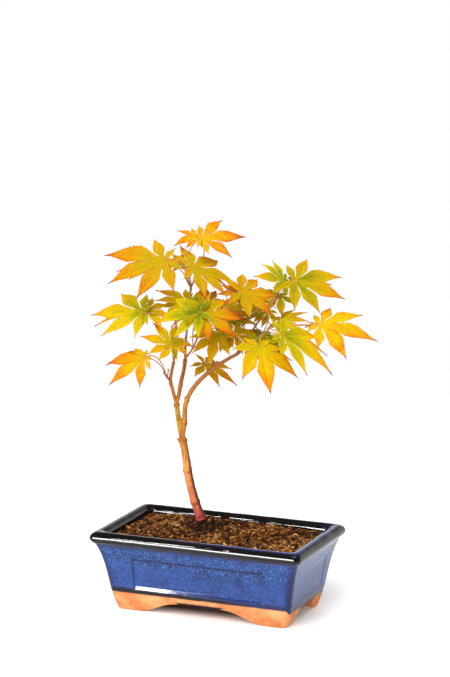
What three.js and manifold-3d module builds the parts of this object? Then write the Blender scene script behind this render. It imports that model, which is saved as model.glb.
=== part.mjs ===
// A potted japanese maple, grown as a small bonsai, in a glazed pot on four feet.
//
// Millimetres, +Z up, standing on z = 0. The pot's long side lies along X, and the plant is built
// about the pot's middle. The tree's front is turned away from the pot's: its limbs and leaves are
// placed by side (to the right), depth (away from the front) and height above the ground.

import * as THREE from "three";
import { mergeVertices } from "three/addons/utils/BufferGeometryUtils.js";
import Module from "manifold-3d";

const wasm = await Module();
wasm.setup();

// ---------------------------------------------------------------- driving dimensions

const GAP = 0.3; // between pieces that touch
const FRONT_TURN = 23; // degrees from the pot's front to the tree's front

const POT_LENGTH = 200; // over the rim
const POT_WIDTH = 118; // over the rim
const POT_CORNER = 5; // radius of its corners
const FOOT_HEIGHT = 12;
const FOOT_WALL = 8;
const FLOOR_TOP = 20;
const RIM_HEIGHT = 11;
const RIM_WIDTH = 12.5;
const RIM_MIDDLE = 67; // height of the rolled rim's middle

const FOOT_INSET = 19.5; // of the feet's soles from the rim
const BASE_INSET = 15.6; // of the wall's foot from the rim
const WALL_SLOPE = 0.17; // how fast the wall leans out
const LIP_FLARE = 5.6; // how much more it opens under the rim
const FLOOR_INSET = 21.5; // of the hollow's floor from the rim
const MOUTH_INSET = 12.5; // of the hollow's mouth from the rim

const PANEL_DEPTH = 1.6; // sunk panel in each side
const PANEL_BOTTOM = 23;
const PANEL_TOP = 50;
const PANEL_HALF_LENGTH = 62;
const PANEL_HALF_WIDTH = 30;

const FRONT_ARCH = { atSole: 52, atTop: 25 }; // half-widths of the gap between two feet
const END_ARCH = { atSole: 33, atTop: 15 };

const SOIL_EDGE = 66.5; // height of the soil along the wall
const SOIL_AT_TRUNK = 74; // top of the mound that the trunk stands in
const TRUNK_FOOT = [-15, 24.5]; // side, depth

const LEAF_THICK = 0.9;
const PETIOLE_RADIUS = 0.75;
const PAIRED_FROM = 38; // leaves at least this long have a partner across the twig
const PAIR_SPREAD = 30; // least depth from the twig to the partner
const PAIR_DROP = 0.2; // how much lower the partner hangs for each millimetre further away

// ---------------------------------------------------------------- small helpers

const radians = THREE.MathUtils.degToRad;
const lerp = THREE.MathUtils.lerp;
const FRONT = new THREE.Matrix4().makeRotationZ(radians(FRONT_TURN));

// A point given by side, depth and height, in the pot's frame.
function treePoint([side, depth, height]) {
  return new THREE.Vector3(side, depth, height).applyMatrix4(FRONT);
}

// A level direction given by its bearing: 0 is right, 90 away, 180 left, 270 to the front.
function bearingVector(bearing) {
  return treePoint([Math.cos(radians(bearing)), Math.sin(radians(bearing)), 0]);
}

// A small seeded generator, so that the tree grows the same each time.
function seeded(seed) {
  let state = seed * 7919;
  return (low, high) => {
    state = (state * 16807) % 2147483647;
    return lerp(low, high, state / 2147483647);
  };
}

function geometryFrom(points, triangles) {
  const geometry = new THREE.BufferGeometry();
  const numbers = points.flatMap((p) => [p.x, p.y, p.z]);
  geometry.setAttribute("position", new THREE.Float32BufferAttribute(numbers, 3));
  geometry.setIndex(triangles.flat());
  return geometry;
}

// ---------------------------------------------------------------- joining and cutting

function solidFrom(geometry) {
  const bare = geometry.clone();
  bare.deleteAttribute("normal");
  bare.deleteAttribute("uv");
  const merged = mergeVertices(bare, 1e-4);
  const vertProperties = new Float32Array(merged.attributes.position.array);
  const triVerts = new Uint32Array(merged.index.array);
  return new wasm.Manifold(new wasm.Mesh({ numProp: 3, vertProperties, triVerts }));
}

function geometryOf(solid) {
  const { vertProperties, triVerts } = solid.getMesh();
  const geometry = new THREE.BufferGeometry();
  geometry.setAttribute("position", new THREE.BufferAttribute(vertProperties, 3));
  geometry.setIndex(new THREE.BufferAttribute(triVerts, 1));
  geometry.computeVertexNormals();
  return geometry;
}

// One body from overlapping solids, with any tiny hollow between them filled.
function join(solids) {
  const whole = solids.reduce((sum, solid) => sum.add(solid));
  return whole.decompose().reduce((best, body) => (body.volume() > best.volume() ? body : best));
}

// ---------------------------------------------------------------- materials

function material(color, roughness, metalness = 0) {
  return new THREE.MeshStandardMaterial({ color, roughness, metalness });
}

const BLUE_GLAZE = material(0x1f3f8f, 0.15);
const TERRACOTTA = material(0xd98a4e, 0.85);
const COMPOST = material(0x5a3820, 0.95);
const YOUNG_BARK = material(0xb8662c, 0.6);
const TWIG_BARK = material(0xa86a2e, 0.6);
const LEAF_GOLD = material(0xe0a818, 0.55);
const LEAF_LIME = material(0xb0b41c, 0.55);
const LEAF_AMBER = material(0xee8f1a, 0.55);

const plant = new THREE.Group();
const taken = [];

function place(name, solid, finish) {
  const mesh = new THREE.Mesh(geometryOf(solid), finish);
  mesh.name = name;
  plant.add(mesh);
  taken.push(solid);
}

// Whether a leaf would run into a piece that is already in place.
function touchesTaken(solid) {
  return taken.some((other) => !solid.intersect(other).isEmpty());
}

// ---------------------------------------------------------------- pot

const CORNER_STEPS = 3;

// The points of a rounded rectangle, inset from the rim, with extra points along its sides.
function outline(inset, radius = POT_CORNER, sideSteps = 1) {
  const long = POT_LENGTH / 2 - inset - radius;
  const wide = POT_WIDTH / 2 - inset - radius;
  const corners = [[long, wide], [-long, wide], [-long, -wide], [long, -wide]];
  const points = [];
  corners.forEach(([x, y], turn) => {
    for (let k = 0; k <= CORNER_STEPS; k++) {
      const angle = (turn + k / CORNER_STEPS) * Math.PI / 2;
      points.push(new THREE.Vector2(x + radius * Math.cos(angle), y + radius * Math.sin(angle)));
    }
    const next = new THREE.Vector2(...corners[(turn + 1) % 4]);
    next.x += radius * Math.round(Math.cos((turn + 1) * Math.PI / 2));
    next.y += radius * Math.round(Math.sin((turn + 1) * Math.PI / 2));
    const last = points[points.length - 1];
    for (let k = 1; k < sideSteps; k++) {
      points.push(last.clone().lerp(next, k / sideSteps));
    }
  });
  return points;
}

// A closed solid through rings of points that all have the same count.
function loft(rings) {
  const count = rings[0].length;
  const points = rings.flat();
  const triangles = [];
  for (let level = 0; level + 1 < rings.length; level++) {
    for (let k = 0; k < count; k++) {
      const a = level * count + k;
      const b = level * count + (k + 1) % count;
      triangles.push([a, b, b + count], [a, b + count, a + count]);
    }
  }
  const first = points.length;
  const last = first + 1;
  points.push(middleOf(rings[0]), middleOf(rings[rings.length - 1]));
  const top = (rings.length - 1) * count;
  for (let k = 0; k < count; k++) {
    const next = (k + 1) % count;
    triangles.push([first, next, k], [last, top + k, top + next]);
  }
  return solidFrom(geometryFrom(points, triangles));
}

function middleOf(ring) {
  return ring.reduce((sum, p) => sum.add(p), new THREE.Vector3()).divideScalar(ring.length);
}

function ringAt(inset, height, radius, sideSteps) {
  return outline(inset, radius, sideSteps).map((p) => new THREE.Vector3(p.x, p.y, height));
}

// How far the outer wall lies inside the rim at a height: it leans out, and more so near the top.
function wallInset(height) {
  const climb = height - FOOT_HEIGHT;
  const share = climb / (RIM_MIDDLE - FOOT_HEIGHT);
  return BASE_INSET - WALL_SLOPE * climb - LIP_FLARE * share ** 5;
}

function hollowInset(height) {
  return lerp(FLOOR_INSET, MOUTH_INSET, (height - FLOOR_TOP) / (RIM_MIDDLE - FLOOR_TOP));
}

function wallRings(extra = 0) {
  const heights = [FOOT_HEIGHT, 24, 36, 46, 52, 57, 61.5];
  return heights.map((height) => ringAt(wallInset(height) + extra, height));
}

// The rolled rim is an oval bead, followed from under its outer edge over to the mouth.
function rimRings() {
  const rings = [];
  for (let angle = -40; angle <= 180; angle += 27.5) {
    const inset = RIM_WIDTH / 2 * (1 - Math.cos(radians(angle)));
    const height = RIM_MIDDLE + RIM_HEIGHT / 2 * Math.sin(radians(angle));
    rings.push(ringAt(inset, height));
  }
  return rings;
}

function boxSolid(length, width, low, high) {
  const box = new THREE.BoxGeometry(length, width, high - low);
  box.translate(0, 0, (low + high) / 2);
  return solidFrom(box);
}

function makePot() {
  const floor = ringAt(FLOOR_INSET, FLOOR_TOP);
  const body = loft([...wallRings(), ...rimRings(), floor]);
  const inside = loft(wallRings(PANEL_DEPTH));
  const longPanels = boxSolid(2 * PANEL_HALF_LENGTH, POT_WIDTH, PANEL_BOTTOM, PANEL_TOP);
  const endPanels = boxSolid(POT_LENGTH, 2 * PANEL_HALF_WIDTH, PANEL_BOTTOM, PANEL_TOP);
  const sunk = longPanels.add(endPanels).subtract(inside);
  place("pot", body.subtract(sunk), BLUE_GLAZE);
}

// The bottom of each side is cut away in a low arch with curled ends.
function archShape(halfAtSole, halfAtTop) {
  const bend = (halfAtSole + halfAtTop) / 2;
  const shape = new THREE.Shape();
  shape.moveTo(-halfAtSole, -1);
  shape.lineTo(-halfAtSole, 0);
  shape.bezierCurveTo(-bend, 1, -bend, FOOT_HEIGHT - 3, -halfAtTop, FOOT_HEIGHT - 1);
  shape.lineTo(-halfAtTop + 1, FOOT_HEIGHT + 1);
  shape.lineTo(halfAtTop - 1, FOOT_HEIGHT + 1);
  shape.lineTo(halfAtTop, FOOT_HEIGHT - 1);
  shape.bezierCurveTo(bend, FOOT_HEIGHT - 3, bend, 1, halfAtSole, 0);
  shape.lineTo(halfAtSole, -1);
  return shape;
}

function archSolid(halfAtSole, halfAtTop, turned) {
  const depth = 2 * POT_LENGTH;
  const look = { depth, bevelEnabled: false, curveSegments: 5 };
  const arch = new THREE.ExtrudeGeometry(archShape(halfAtSole, halfAtTop), look);
  arch.translate(0, 0, -depth / 2);
  arch.rotateX(Math.PI / 2);
  if (turned) arch.rotateZ(Math.PI / 2);
  return solidFrom(arch);
}

function makeFeet() {
  const outside = loft([ringAt(FOOT_INSET, 0), ringAt(BASE_INSET, FOOT_HEIGHT)]);
  const innerSole = ringAt(FOOT_INSET + FOOT_WALL, -1);
  const inside = loft([innerSole, ringAt(BASE_INSET + FOOT_WALL, FOOT_HEIGHT + 1)]);
  const longArch = archSolid(FRONT_ARCH.atSole, FRONT_ARCH.atTop, false);
  const endArch = archSolid(END_ARCH.atSole, END_ARCH.atTop, true);
  const wings = outside.subtract(inside).subtract(longArch).subtract(endArch);
  for (const [face, y] of [["front", -1], ["back", 1]]) {
    for (const [side, x] of [["left", -1], ["right", 1]]) {
      const quarter = new THREE.BoxGeometry(POT_LENGTH, POT_WIDTH, POT_LENGTH);
      quarter.translate(x * POT_LENGTH / 2, y * POT_WIDTH / 2, 0);
      place(`pot_foot_${face}_${side}`, wings.intersect(solidFrom(quarter)), TERRACOTTA);
    }
  }
}

// ---------------------------------------------------------------- soil

const SOIL_SIDE_STEPS = 6;
const SOIL_REST = 8; // radius of the level patch under the trunk

// Gentle lumps, none of them higher than the patch that the trunk stands on.
function soilHeight(x, y, nearness) {
  const lumps = 0.9 * Math.sin(x / 9) * Math.cos(y / 7) + 0.6 * Math.sin((x + 2 * y) / 5);
  const mound = lerp(SOIL_EDGE, SOIL_AT_TRUNK - GAP, Math.sin(nearness * Math.PI / 2) ** 1.5);
  const height = mound + lumps * Math.sin(nearness * Math.PI);
  return Math.min(height, SOIL_AT_TRUNK - GAP);
}

function makeSoil() {
  const trunkFoot = treePoint([...TRUNK_FOOT, 0]);
  const low = FLOOR_TOP + GAP;
  const bottom = ringAt(hollowInset(low) + GAP, low, POT_CORNER, SOIL_SIDE_STEPS);
  const edge = ringAt(hollowInset(SOIL_EDGE) + GAP, SOIL_EDGE, POT_CORNER, SOIL_SIDE_STEPS);
  const rings = [bottom, edge];
  for (const nearness of [0.12, 0.28, 0.45, 0.62, 0.8, 1]) {
    rings.push(edge.map((p) => {
      const out = p.clone().sub(trunkFoot).setZ(0).setLength(SOIL_REST);
      const inner = trunkFoot.clone().add(out);
      const x = lerp(p.x, inner.x, nearness);
      const y = lerp(p.y, inner.y, nearness);
      return new THREE.Vector3(x, y, soilHeight(x, y, nearness));
    }));
  }
  place("soil", loft(rings), COMPOST);
}

// ---------------------------------------------------------------- limbs

const LIMB_SIDES = 8;
const LIMB_STEP = 7; // between the rings of a limb
const TWIG_SIDES = 4;
const TWIG_STEP = 9;

// A limb's middle line and its radius, from thick at its start to thin at its end. swellings are
// the shares of its length where an old joint rings it. Its first millimetres, held, belong to
// the limb that carries it, which ends in a fork or a stub of that length.
function limb(way, { thick, thin, swellings = [], held = 0 }) {
  const curve = new THREE.CatmullRomCurve3(way.map(treePoint), false, "centripetal");
  const length = curve.getLength();
  const radiusAt = (share) => {
    const swell = swellings.reduce((sum, s) => sum + Math.exp(-(((share - s) * length / 2) ** 2)), 0);
    return lerp(thick, thin, share) * (1 + 0.18 * swell);
  };
  return { curve, length, radiusAt, held };
}

// A closed tapering tube along the stretch of a limb between two distances from its start.
function stretch({ curve, length, radiusAt }, from, to, look) {
  const { sides = LIMB_SIDES, step = LIMB_STEP, foot } = look;
  const steps = Math.max(2, Math.round((to - from) / step));
  const rings = [];
  let across = new THREE.Vector3(0.31, -0.95, 0.05);
  for (let k = 0; k <= steps; k++) {
    const share = lerp(from, to, k / steps) / length;
    const middle = curve.getPointAt(share);
    const along = curve.getTangentAt(share);
    across = across.clone().addScaledVector(along, -across.dot(along)).normalize();
    const up = along.clone().cross(across);
    rings.push(Array.from({ length: sides }, (_, j) => {
      const angle = 2 * Math.PI * j / sides;
      const flare = foot ? foot(share * length, angle) : 1;
      const radius = radiusAt(share) * flare;
      const point = middle.clone().addScaledVector(across, radius * Math.cos(angle));
      return point.addScaledVector(up, radius * Math.sin(angle));
    }));
  }
  if (foot) rings[0].forEach((p) => p.setZ(curve.getPointAt(from / length).z));
  return loft(rings);
}

// The start of a limb, as part of the one that carries it, and the rest of it.
function stub(child) {
  return stretch(child, 0, child.held, { step: 2 });
}

function rest(child, look) {
  return stretch(child, child.held + GAP, child.length, look);
}

const TRUNK_FORK = [-32, 24, 149];
const STEM_FORK = [-37, 22, 181];
const LEFT_JOINT = [-42, 20, 201];
const LEFT_TIP = [-39, 18, 219];
const MIDDLE_TIP = [-29, 31, 219];
const RIGHT_JOINT = [-5, 14, 213];
const RIGHT_TIP = [25, 9, 239];

const TRUNK = limb(
  [[...TRUNK_FOOT, SOIL_AT_TRUNK], [-21, 24, 92], [-26, 24, 113], [-29, 24, 134], TRUNK_FORK],
  { thick: 4.2, thin: 3.3, swellings: [0.6, 0.97] },
);
const LEFT_STEM = limb(
  [TRUNK_FORK, [-35, 23, 166], STEM_FORK],
  { thick: 2.4, thin: 2.1, swellings: [0.95], held: 16 },
);
const LEFT_BOUGH = limb(
  [STEM_FORK, [-40, 21, 192], LEFT_JOINT, [-41, 19, 210], LEFT_TIP],
  { thick: 1.6, thin: 1.2, swellings: [0.5, 0.98], held: 9 },
);
const MIDDLE_BOUGH = limb(
  [STEM_FORK, [-35, 23, 187], [-33, 26, 198], [-30, 29, 211], MIDDLE_TIP],
  { thick: 1.8, thin: 1.6, swellings: [0.95], held: 9 },
);
const RIGHT_BOUGH = limb(
  [
    TRUNK_FORK, [-30, 23, 162], [-28, 21, 183], [-19, 18, 199],
    RIGHT_JOINT, [10, 10, 224], [18, 8, 229], RIGHT_TIP,
  ],
  { thick: 2.3, thin: 1.2, swellings: [0.12, 0.6], held: 16 },
);

// Roots swell the trunk's last few millimetres in three lobes.
function rootFlare(distance, angle) {
  return 1 + (0.22 + 0.08 * Math.cos(3 * angle)) * Math.exp(-distance / 5);
}

// ---------------------------------------------------------------- leaves

// The lobes of a leaf from the middle one outwards: bearing from it and share of its length.
const LOBES = [
  { bearing: 0, reach: 1 },
  { bearing: 41, reach: 0.92 },
  { bearing: 84, reach: 0.72 },
  { bearing: 128, reach: 0.45 },
];
const LOBE_WIDTH = 0.14; // half a lobe's greatest width, as a share of its length
const SLIT = 0.2; // where the slits between lobes end, as a share of the shorter lobe
const ARCH = 0.08; // how far the lobes bend down towards their tips
const LOBE_STRAY = 8; // degrees that a lobe may stray from its bearing
const LOBE_VARIETY = [0.84, 1.12]; // how much shorter or longer than usual a lobe may be
const FOLD = 0.25; // how far each lobe's margins stand up from its rib

// Half the width of a lobe at a share of its length: narrow at its foot, widest at the middle, and
// drawn out into a thin tip.
function lobeWidth(share) {
  return LOBE_WIDTH * (4 * share * (1 - share)) ** 1.6;
}

// A leaf's middle surface: lobes as strips on both sides of a rib, all from the foot at the origin,
// with the middle lobe along +X and +Z up. outer is how long the four outer lobes are for the leaf.
function leafSurface({ length, outer, seed }) {
  const random = seeded(seed);
  const lobes = [];
  for (let k = -3; k <= 3; k++) {
    const { bearing, reach } = LOBES[Math.abs(k)];
    const angle = radians(Math.sign(k) * bearing + random(-LOBE_STRAY, LOBE_STRAY));
    const own = length * random(...LOBE_VARIETY) * (Math.abs(k) > 1 ? outer : 1);
    lobes.push({ angle, reach: reach * own, shares: Math.abs(k) === 3 ? [0.5] : [0.42, 0.74] });
  }
  const points = [new THREE.Vector3()];
  const triangles = [];
  const add = (lobe, along, aside) => {
    const x = along * Math.cos(lobe.angle) - aside * Math.sin(lobe.angle);
    const y = along * Math.sin(lobe.angle) + aside * Math.cos(lobe.angle);
    const z = FOLD * Math.abs(aside) - ARCH * along * along / length;
    return points.push(new THREE.Vector3(x, y, z)) - 1;
  };
  const slitAfter = lobes.map((lobe, k) => {
    const next = lobes[k + 1];
    if (!next) return add({ angle: radians(160) }, 0.12 * length, 0);
    const reach = SLIT * Math.min(lobe.reach, next.reach);
    return add({ angle: (lobe.angle + next.angle) / 2 }, reach, 0);
  });
  const firstSlit = add({ angle: radians(-160) }, 0.12 * length, 0);
  lobes.forEach((lobe, k) => {
    const tip = add(lobe, lobe.reach, 0);
    const ribs = lobe.shares.map((s) => add(lobe, s * lobe.reach, 0));
    const rib = [0, ...ribs, tip];
    for (const hand of [-1, 1]) {
      const slit = hand > 0 ? slitAfter[k] : (k ? slitAfter[k - 1] : firstSlit);
      const marginAt = (share) => add(lobe, share * lobe.reach, hand * lobeWidth(share) * lobe.reach);
      const margins = lobe.shares.map(marginAt);
      const margin = [slit, ...margins, tip];
      for (let j = 0; j + 1 < rib.length; j++) {
        const quad = [rib[j], rib[j + 1], margin[j + 1], margin[j]];
        if (hand < 0) quad.reverse();
        const [a, b, c, d] = quad;
        if (new Set([a, b, c]).size === 3) triangles.push([a, b, c]);
        if (new Set([a, c, d]).size === 3) triangles.push([a, c, d]);
      }
    }
  });
  return { points, triangles };
}

// A closed plate of even thickness about a surface, walled along its free edges.
function thicken({ points, triangles }, thickness) {
  const count = points.length;
  const top = points.map((p) => p.clone().setZ(p.z + thickness / 2));
  const under = points.map((p) => p.clone().setZ(p.z - thickness / 2));
  const edges = new Set(triangles.flatMap(([a, b, c]) => [`${a} ${b}`, `${b} ${c}`, `${c} ${a}`]));
  const faces = triangles.flatMap(([a, b, c]) => [[a, b, c], [c + count, b + count, a + count]]);
  for (const edge of edges) {
    const [a, b] = edge.split(" ").map(Number);
    if (edges.has(`${b} ${a}`)) continue;
    faces.push([b, a, a + count], [b, a + count, b + count]);
  }
  return geometryFrom([...top, ...under], faces);
}

// A leaf's directions: forward along its middle lobe, left, and up out of its face.
// tilt is how far the face leans from level, and faces is the bearing that it leans to.
function leafFrame({ heading, tilt, faces }) {
  const up = bearingVector(faces).multiplyScalar(Math.sin(radians(tilt)));
  up.z = Math.cos(radians(tilt));
  const forward = bearingVector(heading);
  forward.z = -forward.dot(up) / up.z;
  forward.normalize();
  return { forward, left: up.clone().cross(forward), up };
}

function leafSolid(leaf) {
  const { forward, left, up } = leafFrame(leaf);
  const geometry = thicken(leafSurface(leaf), LEAF_THICK);
  const matrix = new THREE.Matrix4().makeBasis(forward, left, up).setPosition(treePoint(leaf.foot));
  geometry.applyMatrix4(matrix);
  return solidFrom(geometry);
}

function nearestJoint(foot, joints) {
  const distance = (joint) => Math.hypot(...joint.map((value, k) => value - foot[k]));
  return joints.reduce((best, joint) => (distance(joint) < distance(best) ? joint : best));
}

// A leaf's stalk leaves the twig's nearest joint and bends round to meet the leaf from behind.
function petioleSolid(leaf, joints) {
  const foot = treePoint(leaf.foot);
  const joint = treePoint(nearestJoint(leaf.foot, joints));
  const { forward, up } = leafFrame(leaf);
  const reach = joint.distanceTo(foot);
  const bend = foot.clone().addScaledVector(forward, -0.4 * reach).addScaledVector(up, -0.05 * reach);
  const end = foot.clone().addScaledVector(forward, 2);
  const curve = new THREE.QuadraticBezierCurve3(joint, bend, end);
  const length = curve.getLength();
  const stalk = { curve, length, radiusAt: () => PETIOLE_RADIUS };
  return stretch(stalk, 0, length, { sides: 3, step: 8 });
}

// ---------------------------------------------------------------- masses of foliage

// A leaf's foot, its directions in degrees, its length, its outer lobes' share and its own seed.
function leaf(foot, [heading, tilt, faces], length, outer, seed) {
  return { foot, heading, tilt, faces, length, outer, seed };
}

// Each mass grows from a stem that goes on from a bough's fork or stub.
const MASSES = [
  {
    name: "foliage_left_low", finish: LEAF_GOLD, seed: 3, from: "left_bough",
    stem: limb([LEFT_JOINT, [-46, 16, 207]], { thick: 1, thin: 0.8, held: 3 }),
    joints: [[-45, 17, 205]],
    leaves: [leaf([-64, -5, 228], [191, 47, 241], 38, 0.6, 17)],
  },
  {
    name: "foliage_left_top", finish: LEAF_LIME, seed: 5, from: "left_bough",
    stem: limb(
      [LEFT_TIP, [-39, 17, 226], [-37, 14, 249], [-37, 12, 258]],
      { thick: 1.1, thin: 0.8, held: 3 },
    ),
    joints: [[-39, 17, 226], [-37, 12, 257]],
    leaves: [
      leaf([-41, -10, 240], [182, 50, 294], 28, 1.15, 148),
      leaf([-66, 0, 267], [166, 37, 244], 49, 0.75, 46),
      leaf([-26, 14, 273], [195, 31, 300], 32, 1, 66),
    ],
  },
  {
    name: "foliage_top", finish: LEAF_GOLD, seed: 7, from: "middle_bough",
    stem: limb(
      [MIDDLE_TIP, [-29, 33, 231], [-28, 35, 241], [-25, 38, 271], [-24, 39, 282]],
      { thick: 1.2, thin: 0.9, held: 6 },
    ),
    joints: [[-25, 38, 271], [-24, 39, 281]],
    leaves: [
      leaf([-47, 8, 311], [191, 44, 262], 55, 0.8, 65),
      leaf([-22, 12, 304], [23, 30, 319], 50, 1.15, 110),
      leaf([-14, 30, 327], [10, 37, 277], 37, 0.65, 57),
      leaf([-18, 46, 326], [208, 29, 291], 23, 0.8, 58),
    ],
  },
  {
    name: "foliage_centre", finish: LEAF_LIME, seed: 11, from: "middle_bough",
    stem: limb([MIDDLE_TIP, [-22, 22, 231], [-16, 10, 248]], { thick: 0.9, thin: 0.8, held: 5 }),
    joints: [[-22, 22, 231], [-16, 10, 247]],
    leaves: [
      leaf([-13, -30, 272], [7, 39, 286], 39, 1.15, 131),
      leaf([-16, -31, 273], [177, 36, 252], 38, 1, 57),
      leaf([-2, -2, 243], [257, 37, 257], 23, 1.1, 107),
      leaf([5, 14, 256], [10, 35, 290], 20, 1, 31),
      leaf([10, 8, 269], [20, 30, 280], 22, 1, 37),
      leaf([3, 26, 263], [5, 34, 285], 26, 1, 29),
    ],
  },
  {
    name: "foliage_under", finish: LEAF_LIME, seed: 13, from: "right_bough",
    stem: limb([RIGHT_JOINT, [-4, 22, 218]], { thick: 0.9, thin: 0.8, held: 4 }),
    joints: [[-4, 21, 217]],
    leaves: [leaf([-12, 37, 213], [348, 29, 321], 37, 0.9, 94)],
  },
  {
    name: "foliage_right_front", finish: LEAF_GOLD, seed: 17, from: "right_bough",
    stem: limb([RIGHT_TIP, [39, 4, 247], [48, 0, 255]], { thick: 0.9, thin: 0.8, held: 6 }),
    joints: [[39, 4, 247], [48, 0, 254]],
    leaves: [
      leaf([36, -30, 242], [284, 41, 293], 46, 0.75, 74),
      leaf([55, -42, 255], [7, 41, 321], 53, 0.8, 45),
      leaf([55, 16, 256], [339, 22, 220], 29, 1.15, 81),
      leaf([89, -10, 258], [346, 27, 267], 52, 0.75, 119),
      leaf([37, -8, 243], [300, 50, 300], 32, 1, 23),
      leaf([46, 22, 236], [330, 38, 300], 20, 1, 43),
      leaf([39, 20, 244], [250, 40, 280], 20, 1, 47),
    ],
  },
  {
    name: "foliage_right_top", finish: LEAF_AMBER, seed: 19, from: "right_bough",
    stem: limb(
      [RIGHT_TIP, [32, 12, 251], [37, 14, 258], [48, 20, 272]],
      { thick: 1, thin: 0.8, held: 5 },
    ),
    joints: [[37, 14, 258], [48, 20, 271]],
    leaves: [
      leaf([68, 10, 293], [348, 43, 277], 42, 1, 72),
      leaf([58, 34, 289], [217, 49, 318], 29, 1, 59),
      leaf([20, -12, 287], [20, 37, 303], 38, 1.15, 148),
    ],
  },
];

// The leaves of a maple stand in pairs: a leaf's partner hangs across the twig from it, on the far
// side, a little smaller, with its face turned away.
function partner(leaf, joints, random) {
  const joint = nearestJoint(leaf.foot, joints);
  const [side, depth, height] = leaf.foot;
  const across = Math.max(PAIR_SPREAD, joint[1] - depth);
  const away = joint[1] + across;
  return {
    foot: [side + random(-6, 6), away, height - PAIR_DROP * (away - depth)],
    heading: -leaf.heading + random(-25, 25),
    tilt: random(24, 36),
    faces: -leaf.faces + random(-15, 15),
    length: leaf.length * random(0.72, 0.86),
    outer: leaf.outer,
    seed: leaf.seed + 200,
  };
}

// Each limb ends in the forks and stubs of what it carries.
const CARRIED_BY = {
  trunk: [LEFT_STEM, RIGHT_BOUGH],
  left_stem: [LEFT_BOUGH, MIDDLE_BOUGH],
};

function makeLimb(name, own, finish, look = {}) {
  const masses = MASSES.filter((mass) => mass.from === name).map((mass) => mass.stem);
  const carried = [...(CARRIED_BY[name] ?? []), ...masses];
  const whole = own.held ? rest(own, look) : stretch(own, 0, own.length, look);
  place(name, join([whole, ...carried.map(stub)]), finish);
}

function makeLimbs() {
  makeLimb("trunk", TRUNK, YOUNG_BARK, { foot: rootFlare });
  makeLimb("left_stem", LEFT_STEM, TWIG_BARK);
  makeLimb("left_bough", LEFT_BOUGH, TWIG_BARK);
  makeLimb("middle_bough", MIDDLE_BOUGH, TWIG_BARK);
  makeLimb("right_bough", RIGHT_BOUGH, TWIG_BARK);
}

function makeMass({ name, finish, seed, stem, joints, leaves }) {
  const random = seeded(seed);
  const paired = leaves.filter((one) => one.length >= PAIRED_FROM);
  const partners = paired.map((one) => partner(one, joints, random));
  const solids = [rest(stem, { sides: TWIG_SIDES, step: TWIG_STEP })];
  for (const one of [...leaves, ...partners]) {
    const whole = petioleSolid(one, joints).add(leafSolid(one));
    if (!touchesTaken(whole)) solids.push(whole);
  }
  place(name, join(solids), finish);
}

// ---------------------------------------------------------------- the whole plant

makePot();
makeFeet();
makeSoil();
makeLimbs();
MASSES.forEach(makeMass);

// The part's origin is on the ground under the middle of its whole outline.
const middle = new THREE.Box3().setFromObject(plant).getCenter(new THREE.Vector3());
plant.position.set(-middle.x, -middle.y, 0);

export default plant;
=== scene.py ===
"""A japanese maple grown as a small bonsai, in a long glazed pot on four clay feet.

Sizes are in millimetres, counted from the pot's middle on the ground, with the pot's long side
along X. The tree's front is turned a little away from the pot's, so its limbs and leaves are placed
by side (to the right), depth (away from the front) and height.
"""

import logging
import math
from bisect import bisect_right
from collections.abc import Callable, Sequence
from dataclasses import dataclass, field
from enum import Enum
from functools import partial
from typing import Any, Protocol

import bpy
from mathutils import Matrix, Vector, noise
from mathutils.bvhtree import BVHTree
from mathutils.kdtree import KDTree


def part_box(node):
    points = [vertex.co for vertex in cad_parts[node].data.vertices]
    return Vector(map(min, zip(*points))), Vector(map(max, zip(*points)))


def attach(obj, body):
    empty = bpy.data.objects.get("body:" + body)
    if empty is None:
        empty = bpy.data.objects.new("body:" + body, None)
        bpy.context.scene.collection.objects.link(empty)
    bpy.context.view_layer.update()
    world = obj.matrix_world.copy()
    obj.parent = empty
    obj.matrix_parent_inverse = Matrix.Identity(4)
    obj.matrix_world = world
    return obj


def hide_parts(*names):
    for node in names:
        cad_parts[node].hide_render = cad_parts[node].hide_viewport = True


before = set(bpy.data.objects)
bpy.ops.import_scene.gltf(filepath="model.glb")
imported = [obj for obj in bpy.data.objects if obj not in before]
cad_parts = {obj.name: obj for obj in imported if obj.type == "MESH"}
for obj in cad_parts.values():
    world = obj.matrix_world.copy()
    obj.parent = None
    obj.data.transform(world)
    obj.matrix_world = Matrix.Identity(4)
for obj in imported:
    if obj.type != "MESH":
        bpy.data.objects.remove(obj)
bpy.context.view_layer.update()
LOG = logging.getLogger("maple")

MM = 0.001
BODY = "root"
FRONT_TURN = math.radians(23)
POT_LOW, POT_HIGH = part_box("pot")
POT_MIDDLE = Vector(((POT_LOW.x + POT_HIGH.x) / 2, (POT_LOW.y + POT_HIGH.y) / 2, 0.0))

Place = tuple[float, float, float]
Pair = tuple[float, float]
Colour = tuple[float, float, float, float]

SOIL_AT_TRUNK = 74.0
TRUNK_FOOT: Place = (-15, 24.5, SOIL_AT_TRUNK)
TRUNK_FORK: Place = (-32, 24, 149)
STEM_FORK: Place = (-37, 22, 181)
LEFT_JOINT: Place = (-42, 20, 201)
LEFT_TIP: Place = (-39, 18, 219)
MIDDLE_TIP: Place = (-29, 31, 219)
RIGHT_JOINT: Place = (-5, 14, 213)
RIGHT_TIP: Place = (25, 9, 239)


# ---------------- numbers and places


class Growth:
    """A small seeded generator, so that the plant grows the same each time."""

    SPREAD = 7919
    FACTOR = 16807
    PRIME = 2147483647

    def __init__(self, seed: int) -> None:
        """Starts the row of numbers that a small whole number stands for."""
        self._state = seed * self.SPREAD

    def between(self, low: float, high: float) -> float:
        """Draws the next number, which lies from low to high."""
        self._state = (self._state * self.FACTOR) % self.PRIME
        return lerp(low, high, self._state / self.PRIME)


def lerp(low: float, high: float, share: float) -> float:
    """Returns the number that lies a share of the way from low to high."""
    return low + (high - low) * share


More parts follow.
